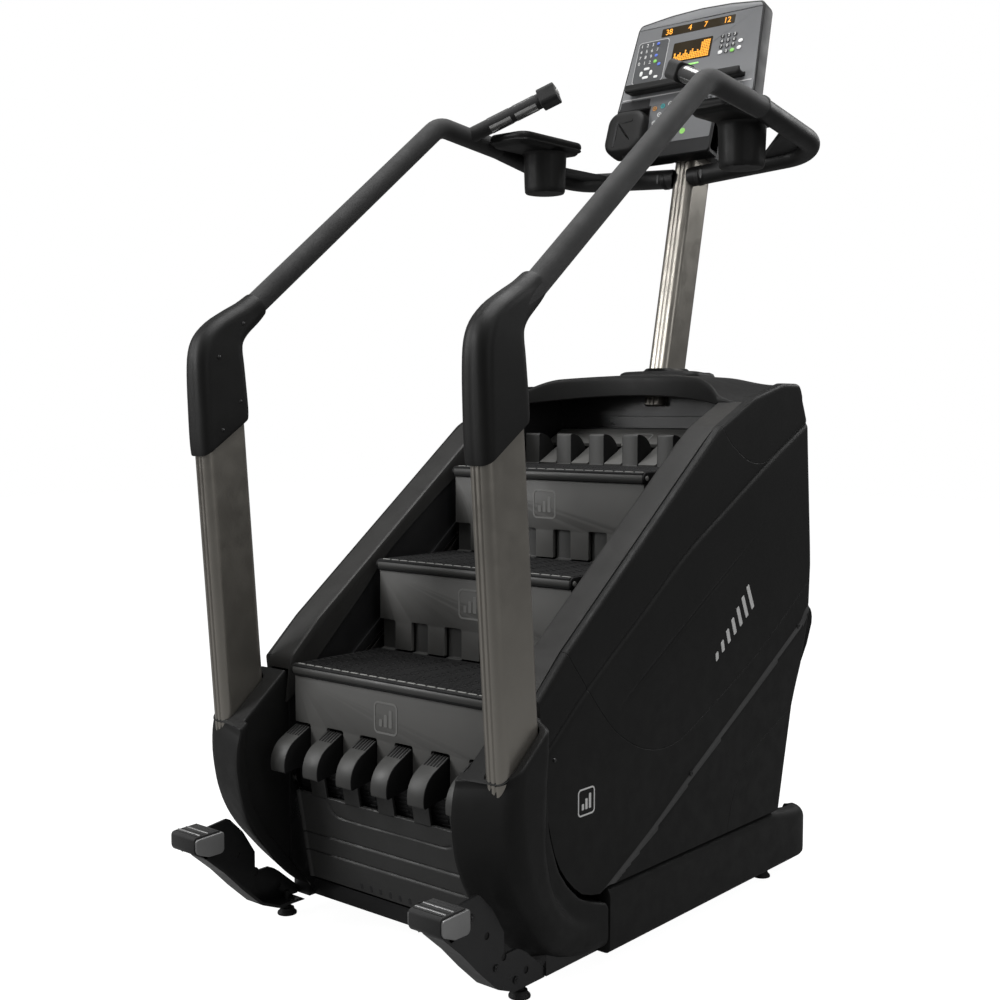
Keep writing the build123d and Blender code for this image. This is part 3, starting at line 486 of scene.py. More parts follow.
def tube(path, radius, count=28, caps=True):
    """Round tube through (x, y, z) points; radius is a number or one per point."""
    points = [Vector(p) for p in path]
    sizes = radius if isinstance(radius, (list, tuple)) else [radius] * len(points)
    side = None
    rings = []
    for i, here in enumerate(points):
        before = points[max(0, i - 1)]
        after = points[min(len(points) - 1, i + 1)]
        along = (after - before).normalized()
        if side is None:
            side = along.orthogonal().normalized()
        side = (side - along * side.dot(along)).normalized()
        other = along.cross(side)
        rings.append([
            tuple(here + (side * cos(2 * pi * k / count) + other * sin(2 * pi * k / count)) * sizes[i])
            for k in range(count)
        ])
    return skin(rings, caps=caps)


def make(name, shape, looks, stands_for=(), body="frame", crease=38.0, marks=None):
    """Turns a shape into a piece that rides on a body."""
    mesh = bpy.data.meshes.new(name)
    mesh.from_pydata([place(p) for p in shape.points], [], shape.faces)
    if marks:
        for label, values in marks.items():
            mesh.attributes.new(label, "FLOAT", "POINT").data.foreach_set("value",
                                                                          np.array(values, np.float32))
    looks = looks if isinstance(looks, (list, tuple)) else [looks]
    for look in looks:
        mesh.materials.append(LOOK[look])
    mesh.polygons.foreach_set("material_index", np.array(shape.numbers, np.int32))
    work = bmesh.new()
    work.from_mesh(mesh)
    bmesh.ops.recalc_face_normals(work, faces=work.faces)
    work.to_mesh(mesh)
    work.free()
    mesh.shade_smooth()
    mesh.set_sharp_from_angle(angle=radians(crease))
    piece = bpy.data.objects.new(name, mesh)
    bpy.context.scene.collection.objects.link(piece)
    if stands_for:
        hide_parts(*stands_for)
    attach(piece, body)
    return piece


def make_sides(name, shape, looks, stands_for=(), body="frame", marks=None, crease=38.0):
    """The +x piece and its mirror image. {} in a node or body name takes the side."""
    for hand, one in (("right", shape), ("left", shape.mirrored())):
        nodes = [n.format(hand) for n in stands_for]
        make(f"{name}_{hand}", one, looks, nodes, body.format(hand), crease, marks)


# ---- columns ----
def column_section(tube_size):
    """Rounded tube outline with two flutes in its front, as (x, y) offsets."""
    wide, deep, r = tube_size
    line = spaced(oblong((-wide, wide), (-deep, deep), r, arc=4.0), 300, closed=True)
    fluted = []
    for x, y in line:
        depth = 2.4 * exp(-(((abs(x) - 5.5) / 1.9) ** 4)) if y < -30 else 0.0
        fluted.append((x, y + depth))
    return fluted


def leaned_column(x, at, lean, z_from, z_to, tube_size):
    """Column whose axis passes (y, z) `at` and leans back by `lean` degrees."""
    a = radians(lean)
    rings = []
    for z in (z_from, z_from + (z_to - z_from) / 3, z_from + (z_to - z_from) * 2 / 3, z_to):
        middle = at[0] - tan(a) * (z - at[1])
        rings.append([(x + u, middle + v * cos(a), z + v * sin(a)) for u, v in column_section(tube_size)])
    return skin(rings)


def columns():
    post = leaned_column(COLUMN_X, COLUMN_AT, COLUMN_LEAN, 330, 1188, COLUMN_TUBE)
    make_sides("fluted_column", post, "column", ["upright_{}"])
    mast = leaned_column(0, MAST_FOOT, MAST_LEAN, 1112, 1784, MAST_TUBE)
    make("fluted_mast", mast, "column", ["mast"])


# ---- elbow covers ----
# Each station: front and rear (y, z), half width, corner radius.
ELBOW_STATIONS = [
    ((-543, 1013), (-421, 1096), 34, 22),
    ((-545.5, 1045), (-422, 1118), 34, 22),
    ((-549, 1110), (-426, 1160), 34, 22),
    ((-552, 1180), (-430, 1206), 33.5, 23),
    ((-550, 1228), (-432, 1232), 33, 25),
    ((-538, 1262), (-428, 1250), 32, 28),
    ((-508, 1292), (-416, 1266), 31, 28),
    ((-468, 1316), (-399, 1281), 30, 27),
    ((-428, 1337), (-381, 1296), 28.5, 26),
    ((-402, 1354), (-367.5, 1310), 29, 27.5),
]


def station_ring(front, rear, half, radius, squeeze=0.0):
    """Rounded section between two (y, z) points, as wide as two half widths."""
    front, rear = Vector(front), Vector(rear)
    run = (rear - front).length
    along = (rear - front).normalized()
    radius = min(radius, run / 2 - 0.5, half - 0.5)
    line = oblong((0, run), (COLUMN_X - half, COLUMN_X + half), radius, arc=6.0)
    line = spaced(inset(line, squeeze), 96, closed=True)
    return [(w, front.x + along.x * s, front.y + along.y * s) for s, w in line]


def elbow_cover():
    """Clamshell from the column's rounded section to the round rail."""
    front, rear, *size = ELBOW_STATIONS[0]
    rings = []
    for lift, squeeze in ((14, 7), (1.5, 5), (0, 3), (1, 1)):
        rings.append(station_ring((front[0], front[1] + lift), (rear[0], rear[1] + lift), *size, squeeze))
    rings += [station_ring(*station) for station in ELBOW_STATIONS[1:]]
    front, rear, *size = ELBOW_STATIONS[-1]
    far = ((front[0] + 1.5, front[1] + 1.2), (rear[0] + 1.5, rear[1] + 1.2))
    rings += [station_ring(*far, *size, squeeze) for squeeze in (1.5, 4.5)]
    cover = skin(thickened(rings))
    parting(cover)
    return cover


def thickened(rings, per_span=3):
    """More rings on smooth lines through the given ones."""
    tracks = [flowing([ring[i] for ring in rings], per_span) for i in range(len(rings[0]))]
    return [[track[k] for track in tracks] for k in range(len(tracks[0]))]


def parting(shape):
    """Presses a fine parting line into a cover along the column's middle plane."""
    pressed = []
    for x, y, z in shape.points:
        near = abs(x - COLUMN_X)
        pressed.append((x, y, z) if near > 0.9 else (x, y * 0.9985, z))
    shape.points = pressed


def elbow_screw(y, z, x):
    """Countersunk cross-head screw in the inner side of a cover."""
    profile = [(0.01, 0.6), (1.2, 0.4), (3.6, 0.2), (4.2, -0.3), (4.4, -1.5), (0.01, -1.6)]
    return turning(profile, lambda u, v, w: (x - w, y + u, z + v), 20)


def elbows():
    nodes = ["elbow_inner_shells", "elbow_outer_shells"]
    make_sides("elbow_cover", elbow_cover(), "cover", nodes)
    spots = ((-500, 1066), (-452, 1126), (-507, 1218), (-440, 1290))
    heads = joined([elbow_screw(y, z, COLUMN_X - 34.2 + (3 if z > 1250 else 0)) for y, z in spots])
    make_sides("elbow_screws", heads, "frame", [])


# ---- side covers ----
def sheet(front, back, count):
    """Grid of points, `count` to a row, with its edge walled back to a second grid."""
    total, rows = len(front), len(front) // count
    faces = []
    for r in range(rows - 1):
        for a in range(r * count, r * count + count - 1):
            faces.append((a, a + 1, a + 1 + count, a + count))
    edge = list(range(count)) + [r * count + count - 1 for r in range(1, rows)]
    edge += [(rows - 1) * count + i for i in range(count - 2, -1, -1)]
    edge += [r * count for r in range(rows - 2, 0, -1)]
    for a, b in zip(edge, edge[1:] + edge[:1]):
        faces.append((a, b, total + b, total + a))
    return Shape(front + back, faces)


TOP_LINE = rounded(
    [(-365, 574, 0), (-280, 652, 60), (263, 1071, 90), (409, 1138, 80), (540, 1170, 40), (622, 1170, 22),
     (640, 1132, 0)],
    closed=False,
)
UPPER_CREASE = [(-351, 465), (-211, 576), (-40, 691), (130, 806), (300, 898), (473, 989), (580, 1041),
                (664, 1080)]
LOWER_CREASE = [(-344, 394), (-83, 535), (205, 700), (494, 865), (672, 968)]
LEDGE_LINE = [(-174, 161), (0, 248), (155, 337), (400, 473), (598, 584), (634, 606), (657, 632), (683, 641)]
FOOT_LINE = [(-150, 172), (200, 172), (537, 172)]
# Each strip: its upper line, its lower line, its front edge and its rear edge.
PANEL_STRIPS = [
    (TOP_LINE, UPPER_CREASE,
     [(-365, 574), (-363, 564), (-351, 465)],
     [(640, 1132), (652, 1107), (664, 1080)]),
    (UPPER_CREASE, LOWER_CREASE,
     [(-351, 465), (-349, 440), (-344, 394)],
     [(664, 1080), (669, 1020), (672, 968)]),
    (LOWER_CREASE, LEDGE_LINE,
     [(-344, 394), (-339, 345), (-306, 250), (-238, 180), (-174, 161)],
     [(672, 968), (685, 800), (689, 745), (683, 641)]),
    (LEDGE_LINE, FOOT_LINE,
     [(-174, 161), (-162, 167), (-150, 172)],
     [(683, 641), (679, 590), (637, 500), (598, 419), (567, 300), (537, 172)]),
]
SEAMS = {
    "seam_sweep": [
        (-330, 730), (-276, 647), (-228, 588), (-186, 537), (-130, 480), (-73, 443), (-22, 421),
        (28, 411), (80, 411), (134, 424), (260, 478), (398, 539), (520, 606), (647, 683), (760, 752),
    ],
    "seam_tongue": [
        (230, 1130), (271, 1071), (305, 1038), (345, 1013), (385, 995), (421, 988), (452, 989),
        (490, 1001), (580, 1046), (640, 1075), (760, 1132),
    ],
    "seam_arc": [
        (700, 440), (620, 418), (555, 395), (478, 366), (403, 333), (358, 298), (326, 261), (305, 210),
        (295, 161), (290, 100),
    ],
}
PANEL_X, PANEL_INNER_X = 385.0, 366.0
LIT_STRIP_WIDE, LIT_STRIP_REAR_Y = 11.0, 672


def shares(width, near=(1.5, 3.2, 5.2, 8.0, 12.0), middle=7):
    """Steps from 0 to 1 that crowd towards both ends of a strip."""
    close = [d / width for d in near]
    inner = list(np.linspace(close[-1], 1 - close[-1], middle + 2)[1:-1])
    return [0.0, *close, *inner, *[1 - c for c in close[::-1]]]


def strip_rows(first, last, left, right, steps, count):
    """Rows of points filling a four-sided patch; steps run from first towards last."""
    top, bottom = np.array(spaced(first, count)), np.array(spaced(last, count))
    u = np.linspace(0, 1, count)[:, None]
    sides = [np.array(spaced(flowing(edge, 10) if len(edge) > 2 else edge, 401)) for edge in (left, right)]
    rows = []
    for v in steps:
        a, b = (side[int(round(v * 400))] for side in sides)
        ruled = (1 - v) * top + v * bottom + (1 - u) * a + u * b
        corners = (1 - u) * ((1 - v) * top[0] + v * bottom[0]) + u * ((1 - v) * top[-1] + v * bottom[-1])
        rows.append([tuple(p) for p in ruled - corners])
    return rows


def panel_rows():
    rows = []
    for first, last, left, right in PANEL_STRIPS:
        first, last = flowing(first, 6) if first is not TOP_LINE else first, flowing(last, 6)
        rows += strip_rows(first, last, left, right, shares(130.0), 170)
    last = flowing(FOOT_LINE, 6)
    rows.append([tuple(p) for p in spaced(last, 170)])
    return rows


def roll(distance, radius):
    """How far a rolled edge falls away at a distance from its rim."""
    gap = np.clip(radius - distance, 0, radius)
    return radius - np.sqrt(radius**2 - gap**2)


def smooth_step(value):
    value = np.clip(value, 0, 1)
    return value * value * (3 - 2 * value)


def panel_relief(flat):
    """How far out each point of a side cover stands."""
    rear = [(640, 1132), (664, 1080), (672, 968), (689, 745), (683, 641), (637, 500), (598, 419),
            (537, 172)]
    out = np.full(len(flat), PANEL_X)
    upper = reach(flat, flowing(UPPER_CREASE, 6))
    lower = reach(flat, flowing(LOWER_CREASE, 6))
    along = np.array(flat)[:, 0]
    fade = smooth_step((along + 120) / 110) * smooth_step((500 - along) / 260)
    out += 1.6 * smooth_step(0.5 - upper / 16)
    out -= 3.4 * np.exp(-((upper / 5.0) ** 2))
    out -= 2.8 * fade * np.exp(-((lower / 4.0) ** 2))
    out += 4.6 * smooth_step(-reach(flat, flowing(LEDGE_LINE, 6)) / 11)
    out -= roll(np.abs(reach(flat, TOP_LINE)), 9.0)
    out -= roll(np.abs(reach(flat, rear)), 14.0)
    return out


def side_covers():
    rows = panel_rows()
    count = len(rows[0])
    flat = [p for row in rows for p in row]
    out = panel_relief(flat)
    front = [(x, y, z) for x, (y, z) in zip(out, flat)]
    shell = sheet(front, [(PANEL_INNER_X, y, z) for y, z in flat], count)
    lines = {}
    for label, line in SEAMS.items():
        lines[label] = np.concatenate([reach(flat, flowing(line, 6))] * 2)
    # Faces on the upward-facing slope of the ledge take the lighter strip finish: a painted highlight where
    # light falls on the ledge.
    lit = reach(flat, flowing(LEDGE_LINE, 6))
    for f in range((len(rows) - 1) * (count - 1)):
        middle = sum(lit[i] for i in shell.faces[f]) / 4
        if -LIT_STRIP_WIDE < middle < 0.0 and flat[shell.faces[f][0]][0] < LIT_STRIP_REAR_Y:
            shell.numbers[f] = 1
    make_sides("side_cover", shell, ["panel", "strip"], ["side_panel_{}"], marks=lines,
               crease=50)
    caps = joined([screw_plug(y, z) for y, z in ((153, 334), (621, 594))])
    make_sides("cover_plugs", caps, "frame", ["cover_screws"])
    make_sides("side_accent", accent_bars(), "print", [])
    mark = badge(lambda u, v, w: (PANEL_X + 1.4 + w, -220 + u, 356 + v), 27)
    make_sides("side_badge", mark, "print", [])


def screw_plug(y, z):
    """Sunk hexagon-socket screw head."""
    profile = [(0.01, -0.4), (2.4, -0.4), (2.8, 0.5), (5.2, 0.7), (6.0, 0.2), (6.2, -2.0), (0.01, -2.2)]
    return turning(profile, lambda u, v, w: (388.4 + w, y + u, z + v), 24)


def accent_bars():
    """Row of slanted bars of rising length, a plain decoration."""
    bars = []
    heading = Vector((cos(radians(33)), sin(radians(33))))
    lift = Vector((-heading.y, heading.x))
    for k in range(7):
        start = Vector((250, 560)) + heading * (k * 30)
        tall = 16 + 7 * k
        corners = [start, start + heading * 13, start + heading * 21 + lift * tall,
                   start + heading * 8 + lift * tall]
        line = rounded([(p.x, p.y, 2.5) for p in corners])
        bars.append(prism(line, PANEL_X + 1.0, PANEL_X + 2.2, across, 0.2, 1))
    return joined(bars)


def badge(put, half):
    """Plain rounded frame round three rising bars."""
    outer = oblong((-half, half), (-half, half), half * 0.35)
    inner = inset(outer, half * 0.12)
    levels = ((outer, -0.6), (outer, 0.5), (inner, 0.5), (inner, -0.6))
    rings = [[put(u, v, w) for u, v in line] for line, w in levels]
    mark = skin(rings + rings[:1], caps=False)
    for k in range(3):
        left = half * (-0.55 + 0.42 * k)
        line = oblong((left, left + half * 0.26), (-half * 0.55, half * (-0.1 + 0.32 * k)), half * 0.06)
        rings = [[put(u, v, w) for u, v in line] for w in (-0.6, 0.5)]
        mark.add(skin(rings))
    return mark


SLOPE_LINE = rounded(
    [(-369, 558, 0), (-364, 576, 8), (-284, 652, 60), (213, 1036, 60), (262, 1070, 90), (386, 1126, 0)],
    closed=False,
)
SLOPE_FOLD = [(-378, 480), (-345, 505), (-300, 553), (-150, 695), (-69, 778), (40, 860), (148, 935),
              (260, 1000), (384, 1060)]


def slope_caps():
    """Sloped top strip with a rounded inner edge and the band folded down inside it."""
    line = spaced(SLOPE_LINE, 90)
    low = spaced(flowing(SLOPE_FOLD, 12), 90)
    rings = []
    fall = 0.3 * sin(radians(38))
    for (y, z), (ly, lz) in zip(line, low):
        drop = [(368.5, -0.4), (364, 0), (308, 0), (304, 0.6), (301.2, 2.4), (300, 5.6)]
        ring = [(x, y + fall * d, z - d) for x, d in drop]
        ring += [(300, y + (ly - y) * t, z - 5.6 + (lz - z + 5.6) * t) for t in (0.25, 0.5, 0.75, 1.0)]
        ring += [(305, ly, lz), (305, y, z - 8), (368.5, y, z - 8)]
        rings.append(ring)
    # The slope caps take the lighter slope finish, a painted highlight.
    make_sides("slope_cap", skin(rings), "slope", ["slope_caps"], crease=30)


# ---- boots ----
# Each station: front and rear (y, z), outer bulge, where the bulge ends, inner lip.
BOOT_STATIONS = [
    ((-507, 438), (-371, 548), 431, 0.86, 300),
    ((-513, 405), (-359, 497), 432, 0.80, 300),
    ((-516, 368), (-352, 436), 432, 0.74, 300),
    ((-512, 330), (-345, 380), 432, 0.69, 300),
    ((-505, 294), (-341, 330), 431, 0.66, 300),
    ((-490, 252), (-329, 288), 429, 0.64, 301),
    ((-467, 210), (-314, 250), 425, 0.62, 302),
    ((-432, 164), (-293, 219), 418, 0.6, 304),
    ((-392, 117), (-266, 191), 410, 0.6, 307),
    ((-350, 80), (-240, 170), 403, 0.6, 309),
    ((-306, 54), (-214, 158), 398, 0.6, 309),
    ((-258, 36), (-192, 150), 395, 0.6, 309),
    ((-210, 27), (-174, 144), 393.5, 0.6, 309),
    ((-172, 26), (-160, 140), 393.3, 0.6, 309),
    ((-155, 27), (-155, 132), 393.3, 0.6, 309),
]
BOOT_HOLE_AT, BOOT_HOLE_HALF = 84.2, 69.4


def on_cut(line, front, along, lift):
    """An outline of (distance, x) points laid on a cut through a boot."""
    normal = Vector((-along.y, along.x))
    return [(w, front.x + along.x * s + normal.x * lift, front.y + along.y * s + normal.y * lift)
            for s, w in line]


def boot_section(front, rear, bulge, hold, lip, count, squeeze=0.0, lift=0.0):
    """Section with a chamfered inner edge and a swollen outer front."""
    front, rear = Vector(front), Vector(rear)
    run = (rear - front).length
    along = (rear - front).normalized()
    corners = [(28, 311, 1.5), (26, lip, 1.5), (0, lip, 4),
               (min(30.0, run * 0.22), bulge, min(38.0, run * 0.28)), (run * hold, bulge, 22),
               (run * (hold + 0.11), 393, 10), (run, 393, 5), (run, 311, 2)]
    line = spaced(rounded(corners, arc=6.0), count, closed=True)
    return on_cut(inset(line, squeeze), front, along, lift)


def column_hole(front, rear, count, grow, lift):
    """Outline of the column where it meets the boot's sloped top."""
    front, rear = Vector(front), Vector(rear)
    along = (rear - front).normalized()
    near, far = BOOT_HOLE_AT - BOOT_HOLE_HALF - grow, BOOT_HOLE_AT + BOOT_HOLE_HALF + grow
    low, high = COLUMN_X - COLUMN_TUBE[0] - grow, COLUMN_X + COLUMN_TUBE[0] + grow
    line = rounded([(near, low, 22), (near, high, 22), (far, high, 22), (far, low, 22)], arc=6.0)
    return on_cut(spaced(line, count, closed=True), front, along, lift)


def boots():
    count = 104
    front, rear = BOOT_STATIONS[0][:2]
    rings = [column_hole(front, rear, count, -0.5, -16), column_hole(front, rear, count, 1.2, -3),
             column_hole(front, rear, count, 2.6, 0.5)]
    for squeeze, lift in ((5.5, 1.5), (3.0, 1.0), (1.2, -1.2), (0.2, -4.0)):
        rings.append(boot_section(*BOOT_STATIONS[0], count, squeeze, lift))
    body = [boot_section(*station, count) for station in BOOT_STATIONS[1:]]
    rings += thickened([rings[-1], *body], 3)[1:]
    front, rear, *rest = BOOT_STATIONS[-1]
    rings.append(boot_section((front[0] + 1.5, front[1]), (rear[0] + 1.5, rear[1]), *rest, count, 1.5))
    make_sides("column_boot", skin(rings), "cover", ["boot_{}"], crease=42)
    profile = [(0.01, 1.0), (3.2, 0.9), (3.8, 0.2), (4.0, -3), (0.01, -3.2)]
    plug = turning(profile, lambda u, v, w: (421 + w, -362 + u, 470 + v), 20)
    make_sides("boot_plug", plug, "frame", [])


# ---- skirts ----
def skirts():
    """Low cover with a rolled top and a rounded rear end."""
    rings = []
    for y in (-143.0, -142.0, -138.0, -120.0, 0.0, 200.0, 420.0, 520.0, 580.0, 620.0, 645.0, 663.0, 678.0,
              690.0, 697.0, 701.0):
        turn = max(0.0, (y - 640) / 62)
        fall = 52 * (1 - sqrt(max(0.0, 1 - turn**2)))
        top = 168 - 20 * smooth_step((y - 480) / 160) - 18 * turn**3
        bottom = 30 + 14 * turn**3
        outer = 389 - fall
        squeeze = 2.0 if y == -143.0 else 0.0
        section = rounded([(outer, bottom, 12), (outer, top - 4, 26), (outer - 34, top + 4, 6),
                           (outer - 40, top - 12, 4), (outer - 40, bottom, 4)], arc=8.0)
        rings.append([(u, y, v) for u, v in inset(spaced(section, 64, closed=True), squeeze)])
    make_sides("skirt_cover", skin(rings), "cover", ["skirts"], crease=42)


# ---- hood ----
HOOD_HALF, HOOD_HOLLOW, HOOD_MID_Y = 300.0, 107.0, 492
HOOD_SIDE = ([380, 409, 470, 540, 600, 625, 645], [1124, 1137, 1152, 1166, 1166, 1160, 1142])


def hood_front(x):
    radius = (HOOD_HALF**2 + HOOD_HOLLOW**2) / (2 * HOOD_HOLLOW)
    return HOOD_MID_Y - (radius - sqrt(radius**2 - min(abs(x), HOOD_HALF) ** 2))


def hood_roof(x, y):
    """Height of the crowned roof, which runs out into the side covers' top line."""
    side = float(np.interp(y, *HOOD_SIDE))
    crown = 1194 - 26 * (x / 365) ** 2 - 3 * float(smooth_step((y - 590) / 60))
    return side + (crown - side) * float(smooth_step((366 - abs(x)) / 165))


def hood():
    rings = []
    for x, _ in spaced([(-366.0, 0.0), (366.0, 0.0)], 121):
        y = hood_front(x)
        top = hood_roof(x, y)
        low = min(1143 - 24 * (min(abs(x), HOOD_HALF) / HOOD_HALF) ** 2, top - 14)
        ring = [(x, y + 46, low + 10), (x, y + 12, low + 3), (x, y + 3, low), (x, y, low + 2.5)]
        ring += [(x, y - 1.0, low + (top - low) * t) for t in (0.3, 0.6)]
        bend = min(12.0, (top - low) * 0.4)
        for k in range(6):
            a = pi / 2 * k / 5
            ring.append((x, y - 1 + bend * (1 - cos(a)), top - bend * (1 - sin(a))))
        for t in np.linspace(0.06, 1, 26):
            back = y + bend + (631 - y - bend) * float(t)
            ring.append((x, back, hood_roof(x, back)))
        edge = hood_roof(x, 631)
        for k in range(1, 5):
            a = pi / 2 * k / 4
            ring.append((x, 631 + 9 * sin(a), edge - 9 * (1 - cos(a))))
        ring += [(x, 640, 1126), (x, 634, 1126), (x, 632, edge - 14), (x, y + 48, min(top - 6, low + 40))]
        rings.append(ring)
    make("hood_shell", skin(rings), "cover", ["hood"], crease=34)
    bulkhead = prism(oblong((-358, 358), (1092, 1150), 4), 592, 596, lambda u, v, w: (u, w, v), 0.6, 1)
    make("hood_bulkhead", bulkhead, "frame", [])


def mast_collar():
    """Trim ring that grows out of the hood round the mast."""
    rings = []
    for half_x, half_y, r, level in (
        (121, 60, 32, -6.0),
        (120, 59, 32, 3.0),
        (117, 56, 30, 9.0),
        (108, 52, 28, 12.5),
        (78, 47, 26, 15.5),
        (56, 50, 26, 19.0),
        (44, 53, 24, 24.0),
        (38, 54, 24, 28.0),
        (35, 52, 24, 29.0),
        (33, 49, 24, 27.0),
    ):
        line = oblong((-half_x, half_x), (-half_y, half_y), r, arc=5.0)
        ring = []
        for u, v in spaced(line, 96, closed=True):
            y = 634 + v
            base = hood_roof(u, min(y, 640)) if level < 13 else 1184.0
            ring.append((u, y, base + level))
        rings.append(ring)
    make("mast_trim", skin(rings), "cover", ["mast_collar"], crease=40)


# ---- stairs ----
def turned(y, z, angle):
    """Rule that turns a piece about x and moves it to (y, z)."""
    a = radians(angle)

    def rule(px, py, pz):
        return (px, y + py * cos(a) - pz * sin(a), z + py * sin(a) + pz * cos(a))

    return rule


def step_shape():
    """Tread in its own axes. Finishes: 0 walking surface, 1 nose, 2 dashes, 3 fingers."""
    depth = STEP_RUN + NOSE_REACH
    plate = prism(rounded([(2.0, -0.4, 3), (2.0, -TREAD_THICK, 3), (depth - COMB_BAR, -TREAD_THICK, 1),
                           (depth - COMB_BAR, -0.4, 1)]), -TREAD_HALF + 4, TREAD_HALF - 4, across, 1.0, 2)
    step = Shape().add(plate, 0)
    nose = prism(disc((NOSE_R, -NOSE_R), NOSE_R, 40), -TREAD_HALF + 4, TREAD_HALF - 4, across, 1.0, 2)
    step.add(nose, 1)
    for side in (-1, 1):
        ends = sorted((side * (TREAD_HALF - 3.4), side * TREAD_HALF))
        step.add(prism(disc((NOSE_R, -NOSE_R), NOSE_R, 32), *ends, across, 1.0, 2), 0)
        ends = sorted((side * TREAD_HALF, side * (TREAD_HALF + 2.0)))
        step.add(prism(disc((NOSE_R, -NOSE_R), 5.5, 20), *ends, across, 0.8, 2), 2)
    pitch = 27.0
    for k in range(20):
        left = -265 + k * pitch
        step.add(prism(oblong((left, left + 21), (9.0, 13.5), 1.2, 30), -0.6, 1.3, upward, 0.5, 1), 2)
    for row in range(25):
        y = 20 + row * 9.2
        for k in range(10):
            left = -268 + k * 54 + (0 if row % 2 else 14)
            right = min(left + 47, 268)
            step.add(prism(oblong((left, right), (y, y + 4.4), 1.4, 30), -0.6, 1.2, upward, 0.5, 1), 0)
    bar = oblong((depth - COMB_BAR, depth - 3), (-TREAD_THICK, -0.3), 1.5)
    step.add(prism(bar, -TREAD_HALF + 1, TREAD_HALF - 1, across, 0.8, 1), 0)
    return step.add(fingers(depth))


def fingers(depth):
    """Row of cam-shaped fingers, grey in front and black at the sides, ribbed behind."""
    line = rounded(
        [(depth - 8, -TREAD_THICK, 2), (depth - 4, -2, 0), (depth + 10.5, 1, 2), (depth + 10.5, 76, 5),
         (depth + 60, 73, 58), (depth + 86, -12, 4), (depth + 32, -14, 12)],
        arc=6.0,
    )
    row = Shape()
    for centre in FINGERS_X:
        one = prism(line, centre - 23, centre + 23, across, 1.6, 2)
        for f, face in enumerate(one.faces):
            width = [one.points[i][0] for i in face]
            one.numbers[f] = 0 if max(width) - min(width) < 2.0 else 3
        row.add(one)
        for k in range(5):
            x = centre - 18.5 + k * 8.2
            rib = [(depth + 66, 20), (depth + 76.5, 22), (depth + 87, -8), (depth + 80, -9)]
            row.add(prism(rib, x, x + 4.0, across, 0.6, 1), 0)
    return row


def riser_shape(notch_tall=67.0):
    """Riser in its own axes with rounded notches, and a raised badge."""
    height = STEP_RISE - TREAD_THICK - 2
    high = -height + notch_tall - 2
    corners = [(-RISER_HALF, 0, 2), (-RISER_HALF, high, 2)]
    for centre in FINGERS_X:
        if centre > FINGERS_X[0]:
            corners += [(centre - 25, -height, 2.4), (centre - 25, high, 5)]
        if centre < FINGERS_X[-1]:
            corners += [(centre + 25, high, 5), (centre + 25, -height, 2.4)]
    corners += [(RISER_HALF, high, 2), (RISER_HALF, 0, 2)]
    plate = prism(rounded(corners, arc=15.0), 0.2, RISER_THICK, lambda u, v, w: (u, w, v), 0.8, 2)
    mark = badge(lambda u, v, w: (u, -w, v - 55), 33)
    return Shape().add(plate, 0).add(mark, 1)


STEP_LOOKS = ["tread", "nose", "nose_rib", "finger"]


def stairs():
    treads, risers = Shape(), Shape()
    for i in range(3):
        y, z = LOWEST_NOSE[0] + i * STEP_RUN, LOWEST_NOSE[1] + i * STEP_RISE
        treads.add(step_shape().moved(turned(y, z, 0)))
        risers.add(riser_shape(67.0 if i else 78.0).moved(turned(y + NOSE_REACH, z - TREAD_THICK, 0)))
    make("ribbed_treads", treads, STEP_LOOKS, ["step_treads"], "stairs")
    make("notched_risers", risers, ["riser", "riser_mark"], ["step_risers"], "stairs")
    rise = atan2(TOP_NOSE[1] - TOP_HINGE[1], TOP_NOSE[0] - TOP_HINGE[0])
    height = STEP_RISE - TREAD_THICK - 2
    leaned = riser_shape(104.0).moved(lambda x, y, z: (x, y, z + height))
    leaned = leaned.moved(turned(TOP_HINGE[0] + 7, TOP_HINGE[1] + 1, degrees(rise) - 90))
    make("turning_riser", leaned, ["riser", "riser_mark"], ["top_step"], "top_step")
    over = step_shape().moved(turned(TOP_NOSE[0] + 16, TOP_NOSE[1] - 6, -97))
    make("turning_tread", over, STEP_LOOKS, [], "top_step")
    a = radians(BOTTOM_TURN)
    depth = STEP_RUN + NOSE_REACH
    start = (BOTTOM_FINGER_FOOT[0] - depth * cos(a), BOTTOM_FINGER_FOOT[1] - depth * sin(a))
    under = step_shape().moved(turned(*start, BOTTOM_TURN))
    make("leaving_tread", under, STEP_LOOKS, ["bottom_step"], "bottom_step")


